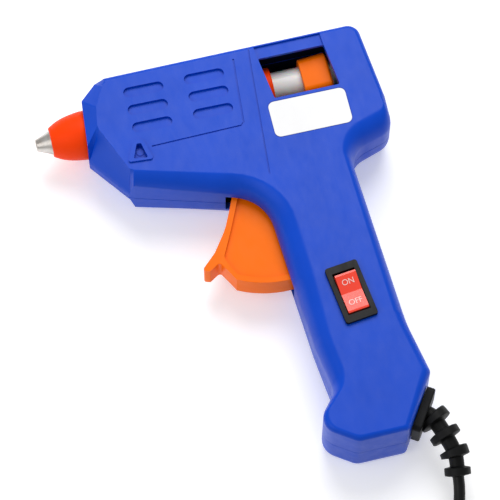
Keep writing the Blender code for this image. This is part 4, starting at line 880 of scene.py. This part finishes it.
class GlueGunLabel(bpy.types.Operator):
    """Make the blank film label"""
    bl_idname = "glue_gun.label"
    bl_label = "Label"

    def execute(self, context):
        outline = box_outline(LABEL_AT, *LABEL, 2.4, math.radians(-0.5))
        piece = mesh_object("blank_label", *prism(outline, THICK - 0.2, THICK + 0.05),
                            pick("label"))
        finished(piece, "gun", ("name_label",), 0.06, 2)
        return {"FINISHED"}


class GlueGunBoot(bpy.types.Operator):
    """Make the ribbed strain relief where the cord leaves the butt"""
    bl_idname = "glue_gun.boot"
    bl_label = "Cord boot"

    def execute(self, context):
        path = boot_path()
        share = np.linspace(0, 1, len(path))
        radii = 3.3 - 0.6 * share
        for place, radius in ((0.20, 6.2), (0.44, 5.9), (0.69, 5.5), (0.93, 5.0)):
            ridge = np.clip((0.062 - np.abs(share - place)) / 0.018, 0, 1)
            radii = np.maximum(radii, radii + (radius - radii) * np.sin(ridge * math.pi / 2))
        radii[-1] -= 0.5
        radii[-2] -= 0.15
        flange = rounded(np.array([(-9.2, -6.8), (9.2, -6.8), (9.2, 6.8), (-9.2, 6.8)]),
                         np.full(4, 2.0), 8)
        levels = np.array([(0.35, 1.0), (3.0, 1.0), (3.4, 0.985), (3.6, 0.95)])
        plate = np.stack([[on_exit(a * grow, by, SEAM + z * grow) for a, z in flange]
                          for by, grow in levels])
        neck = along_path([on_exit(0, by, SEAM) for by in (-4.6, -1.0, 2.0)], [3.5] * 3)
        shapes = [along_path(path, radii), lofted(plate), neck]
        for number, shape in enumerate(shapes, start=1):
            piece = mesh_object(f"boot_{number}", *shape, pick("black_rubber"), 50.0)
            finished(piece, "gun", ("cord_grommet",) if number == 1 else ())
        return {"FINISHED"}


def cord_route():
    """The cord's middle line in design millimetres: down from the boot to the table, round the
    coil in two layers whose radius and height ease from turn to turn, and on to the plug."""
    low = CORD_D / 2
    d = CORD_D
    leave = np.array(CORD_EXIT)
    boot = boot_path()
    onward = (leave - boot[-3]) / np.linalg.norm(leave - boot[-3])
    first = np.array([leave - onward * 3.0, leave + onward * 3.6, (123.2, -176.3, 7.7),
                      (121.0, -184.1, 4.9), (119.3, -189.9, 3.5), (118.0, -194.7, low + COIL_LIFT),
                      (114.6, -206.6, low + COIL_LIFT)])
    radii = COIL_R + np.array([1.5, 0.5, -0.5, -1.5, -1.0, 0.0, 1.0]) * d
    rises = np.array([0, 0, 0, 0, 0.88, 0.88, 0.88]) * d
    per_turn = 28
    turns = np.arange(len(radii) * per_turn + per_turn * 0.195) / per_turn
    index = np.minimum(turns.astype(int), len(radii) - 1)
    after = np.minimum(index + 1, len(radii) - 1)
    part = np.clip((turns - index - 0.60) / 0.40, 0, 1)
    ease = part * part * (3 - 2 * part)
    r = radii[index] + (radii[after] - radii[index]) * ease
    z = rises[index] + (rises[after] - rises[index]) * ease
    angle = math.radians(-15.0) - turns * 2 * math.pi
    coil = np.column_stack([COIL_AT[0] + r * np.cos(angle), COIL_AT[1] + r * np.sin(angle),
                            low + COIL_LIFT + z])
    neck = plug_place(-PLUG_BODY[0] / 2 - PLUG_NECK - GAP, 0, PLUG_BODY[2] / 2)
    ahead = plug_place(-PLUG_BODY[0] / 2 - PLUG_NECK - 7, 0, PLUG_BODY[2] / 2 - 0.8)
    last = coil[-1]
    heading = (coil[-1] - coil[-2]) / np.linalg.norm(coil[-1] - coil[-2])
    bridge = last + heading * 7.0 + (0, 0, -1.6)
    tail = np.array([bridge, ahead + (2.5, -1.2, -0.6), neck])
    return eased(np.vstack([first, coil, tail]), 420)


class GlueGunCord(bpy.types.Operator):
    """Lay the power cord from its boot, round its coil and into the plug"""
    bl_idname = "glue_gun.cord"
    bl_label = "Cord"

    def execute(self, context):
        route = placed(cord_route())
        curve = bpy.data.curves.new("mains_cord", "CURVE")
        curve.dimensions = "3D"
        spline = curve.splines.new("POLY")
        spline.points.add(len(route) - 1)
        spline.points.foreach_set("co", np.column_stack([route, np.ones(len(route))]).ravel())
        curve.bevel_depth = CORD_D * 0.0005
        curve.bevel_resolution = 5
        curve.use_fill_caps = True
        curve.materials.append(pick("cord_rubber"))
        cord = bpy.data.objects.new("mains_cord", curve)
        bpy.context.scene.collection.objects.link(cord)
        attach(cord, "gun")
        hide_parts("power_cord", "plug_lead", "cord_coil")
        tie = node_copy("cord_tie", "coil_tie", pick("black_plastic"))
        finished(tie, "gun", ("cord_tie",), 0.1, 2)
        plug = node_copy("plug_body", "plug_moulding", pick("black_rubber"))
        finished(plug, "gun", ("plug_body",), 0.8, 3, 25.0)
        return {"FINISHED"}


class GlueGunStage(bpy.types.Operator):
    """Set the camera, the pale floor and the soft studio light"""
    bl_idname = "glue_gun.stage"
    bl_label = "Stage"

    def execute(self, context):
        sizes = context.scene.glue_gun_sizes
        tilt = math.radians(23.0)
        swing = math.radians(13.76)
        right = Vector((math.cos(swing), -math.sin(swing), 0))
        ahead = Vector((math.sin(swing), math.cos(swing), 0))
        back = ahead * -math.sin(tilt) + Vector((0, 0, math.cos(tilt)))
        up = ahead * math.cos(tilt) + Vector((0, 0, math.sin(tilt)))
        target = Vector((0.00106, -0.00067, 0.031))
        data = bpy.data.cameras.new("camera")
        data.lens = sizes.lens
        data.sensor_width = 36.0
        data.clip_start = 0.05
        camera = bpy.data.objects.new("camera", data)
        turn = Matrix((right, up, back)).transposed().to_4x4()
        camera.matrix_world = Matrix.Translation(target + back * sizes.camera_distance) @ turn
        context.scene.collection.objects.link(camera)
        context.scene.camera = camera
        context.scene.view_settings.view_transform = "Standard"
        context.scene.view_settings.look = "None"
        self.lamp(context, "lamp_above", (0.22, 0.62, 0.95), 0.85, sizes.lamp)
        self.lamp(context, "lamp_left", (-0.75, -0.25, 0.8), 0.9, sizes.lamp * 0.32)
        world = bpy.data.worlds.new("room")
        world.use_nodes = True
        light = world.node_tree.nodes["Background"]
        light.inputs["Color"].default_value = (1.0, 1.0, 1.0, 1.0)
        light.inputs["Strength"].default_value = sizes.room
        context.scene.world = world
        half = 1.6
        mesh = bpy.data.meshes.new("floor")
        mesh.from_pydata([(-half, -half, 0), (half, -half, 0), (half, half, 0),
                          (-half, half, 0)], [], [(0, 1, 2, 3)])
        floor = bpy.data.objects.new("floor", mesh)
        made, _, shader = new_material("floor")
        shader.inputs["Base Color"].default_value = (0.93, 0.93, 0.93, 1)
        shader.inputs["Roughness"].default_value = 0.9
        shader.inputs["Specular IOR Level"].default_value = 0.1
        shader.inputs["Emission Color"].default_value = (1.0, 1.0, 1.0, 1)
        shader.inputs["Emission Strength"].default_value = 0.32
        mesh.materials.append(made)
        context.scene.collection.objects.link(floor)
        return {"FINISHED"}

    def lamp(self, context, name, place, size, power):
        data = bpy.data.lights.new(name, "AREA")
        data.shape = "DISK"
        data.size = size
        data.energy = power
        lamp = bpy.data.objects.new(name, data)
        lamp.location = place
        lamp.rotation_euler = (-Vector(place)).to_track_quat("-Z", "Y").to_euler()
        context.scene.collection.objects.link(lamp)


PIECES = (GlueGunMaterials, GlueGunStage, GlueGunCord, GlueGunHousing, GlueGunNozzle,
          GlueGunFeed, GlueGunTrigger, GlueGunSwitch, GlueGunLabel, GlueGunBoot)


class GLUEGUN_PT_pieces(bpy.types.Panel):
    """Sizes, colours and pieces of the glue gun"""
    bl_idname = "GLUEGUN_PT_pieces"
    bl_label = "Glue gun"
    bl_space_type = "VIEW_3D"
    bl_region_type = "UI"
    bl_category = "Glue gun"

    def draw(self, context):
        layout = self.layout
        for group in (context.scene.glue_gun_colours, context.scene.glue_gun_sizes):
            for name in group.bl_rna.properties.keys():
                if name not in ("rna_type", "name"):
                    layout.prop(group, name)
        for piece in PIECES:
            layout.operator(piece.bl_idname)


CLASSES = (GlueGunColours, GlueGunSizes, *PIECES, GLUEGUN_PT_pieces)


def register():
    for entry in CLASSES:
        bpy.utils.register_class(entry)
    bpy.types.Scene.glue_gun_colours = bpy.props.PointerProperty(type=GlueGunColours)
    bpy.types.Scene.glue_gun_sizes = bpy.props.PointerProperty(type=GlueGunSizes)


def unregister():
    del bpy.types.Scene.glue_gun_sizes
    del bpy.types.Scene.glue_gun_colours
    for entry in reversed(CLASSES):
        bpy.utils.unregister_class(entry)


def main():
    register()
    for piece in PIECES:
        group, name = piece.bl_idname.split(".")
        getattr(getattr(bpy.ops, group), name)()


if __name__ == "__main__":
    main()
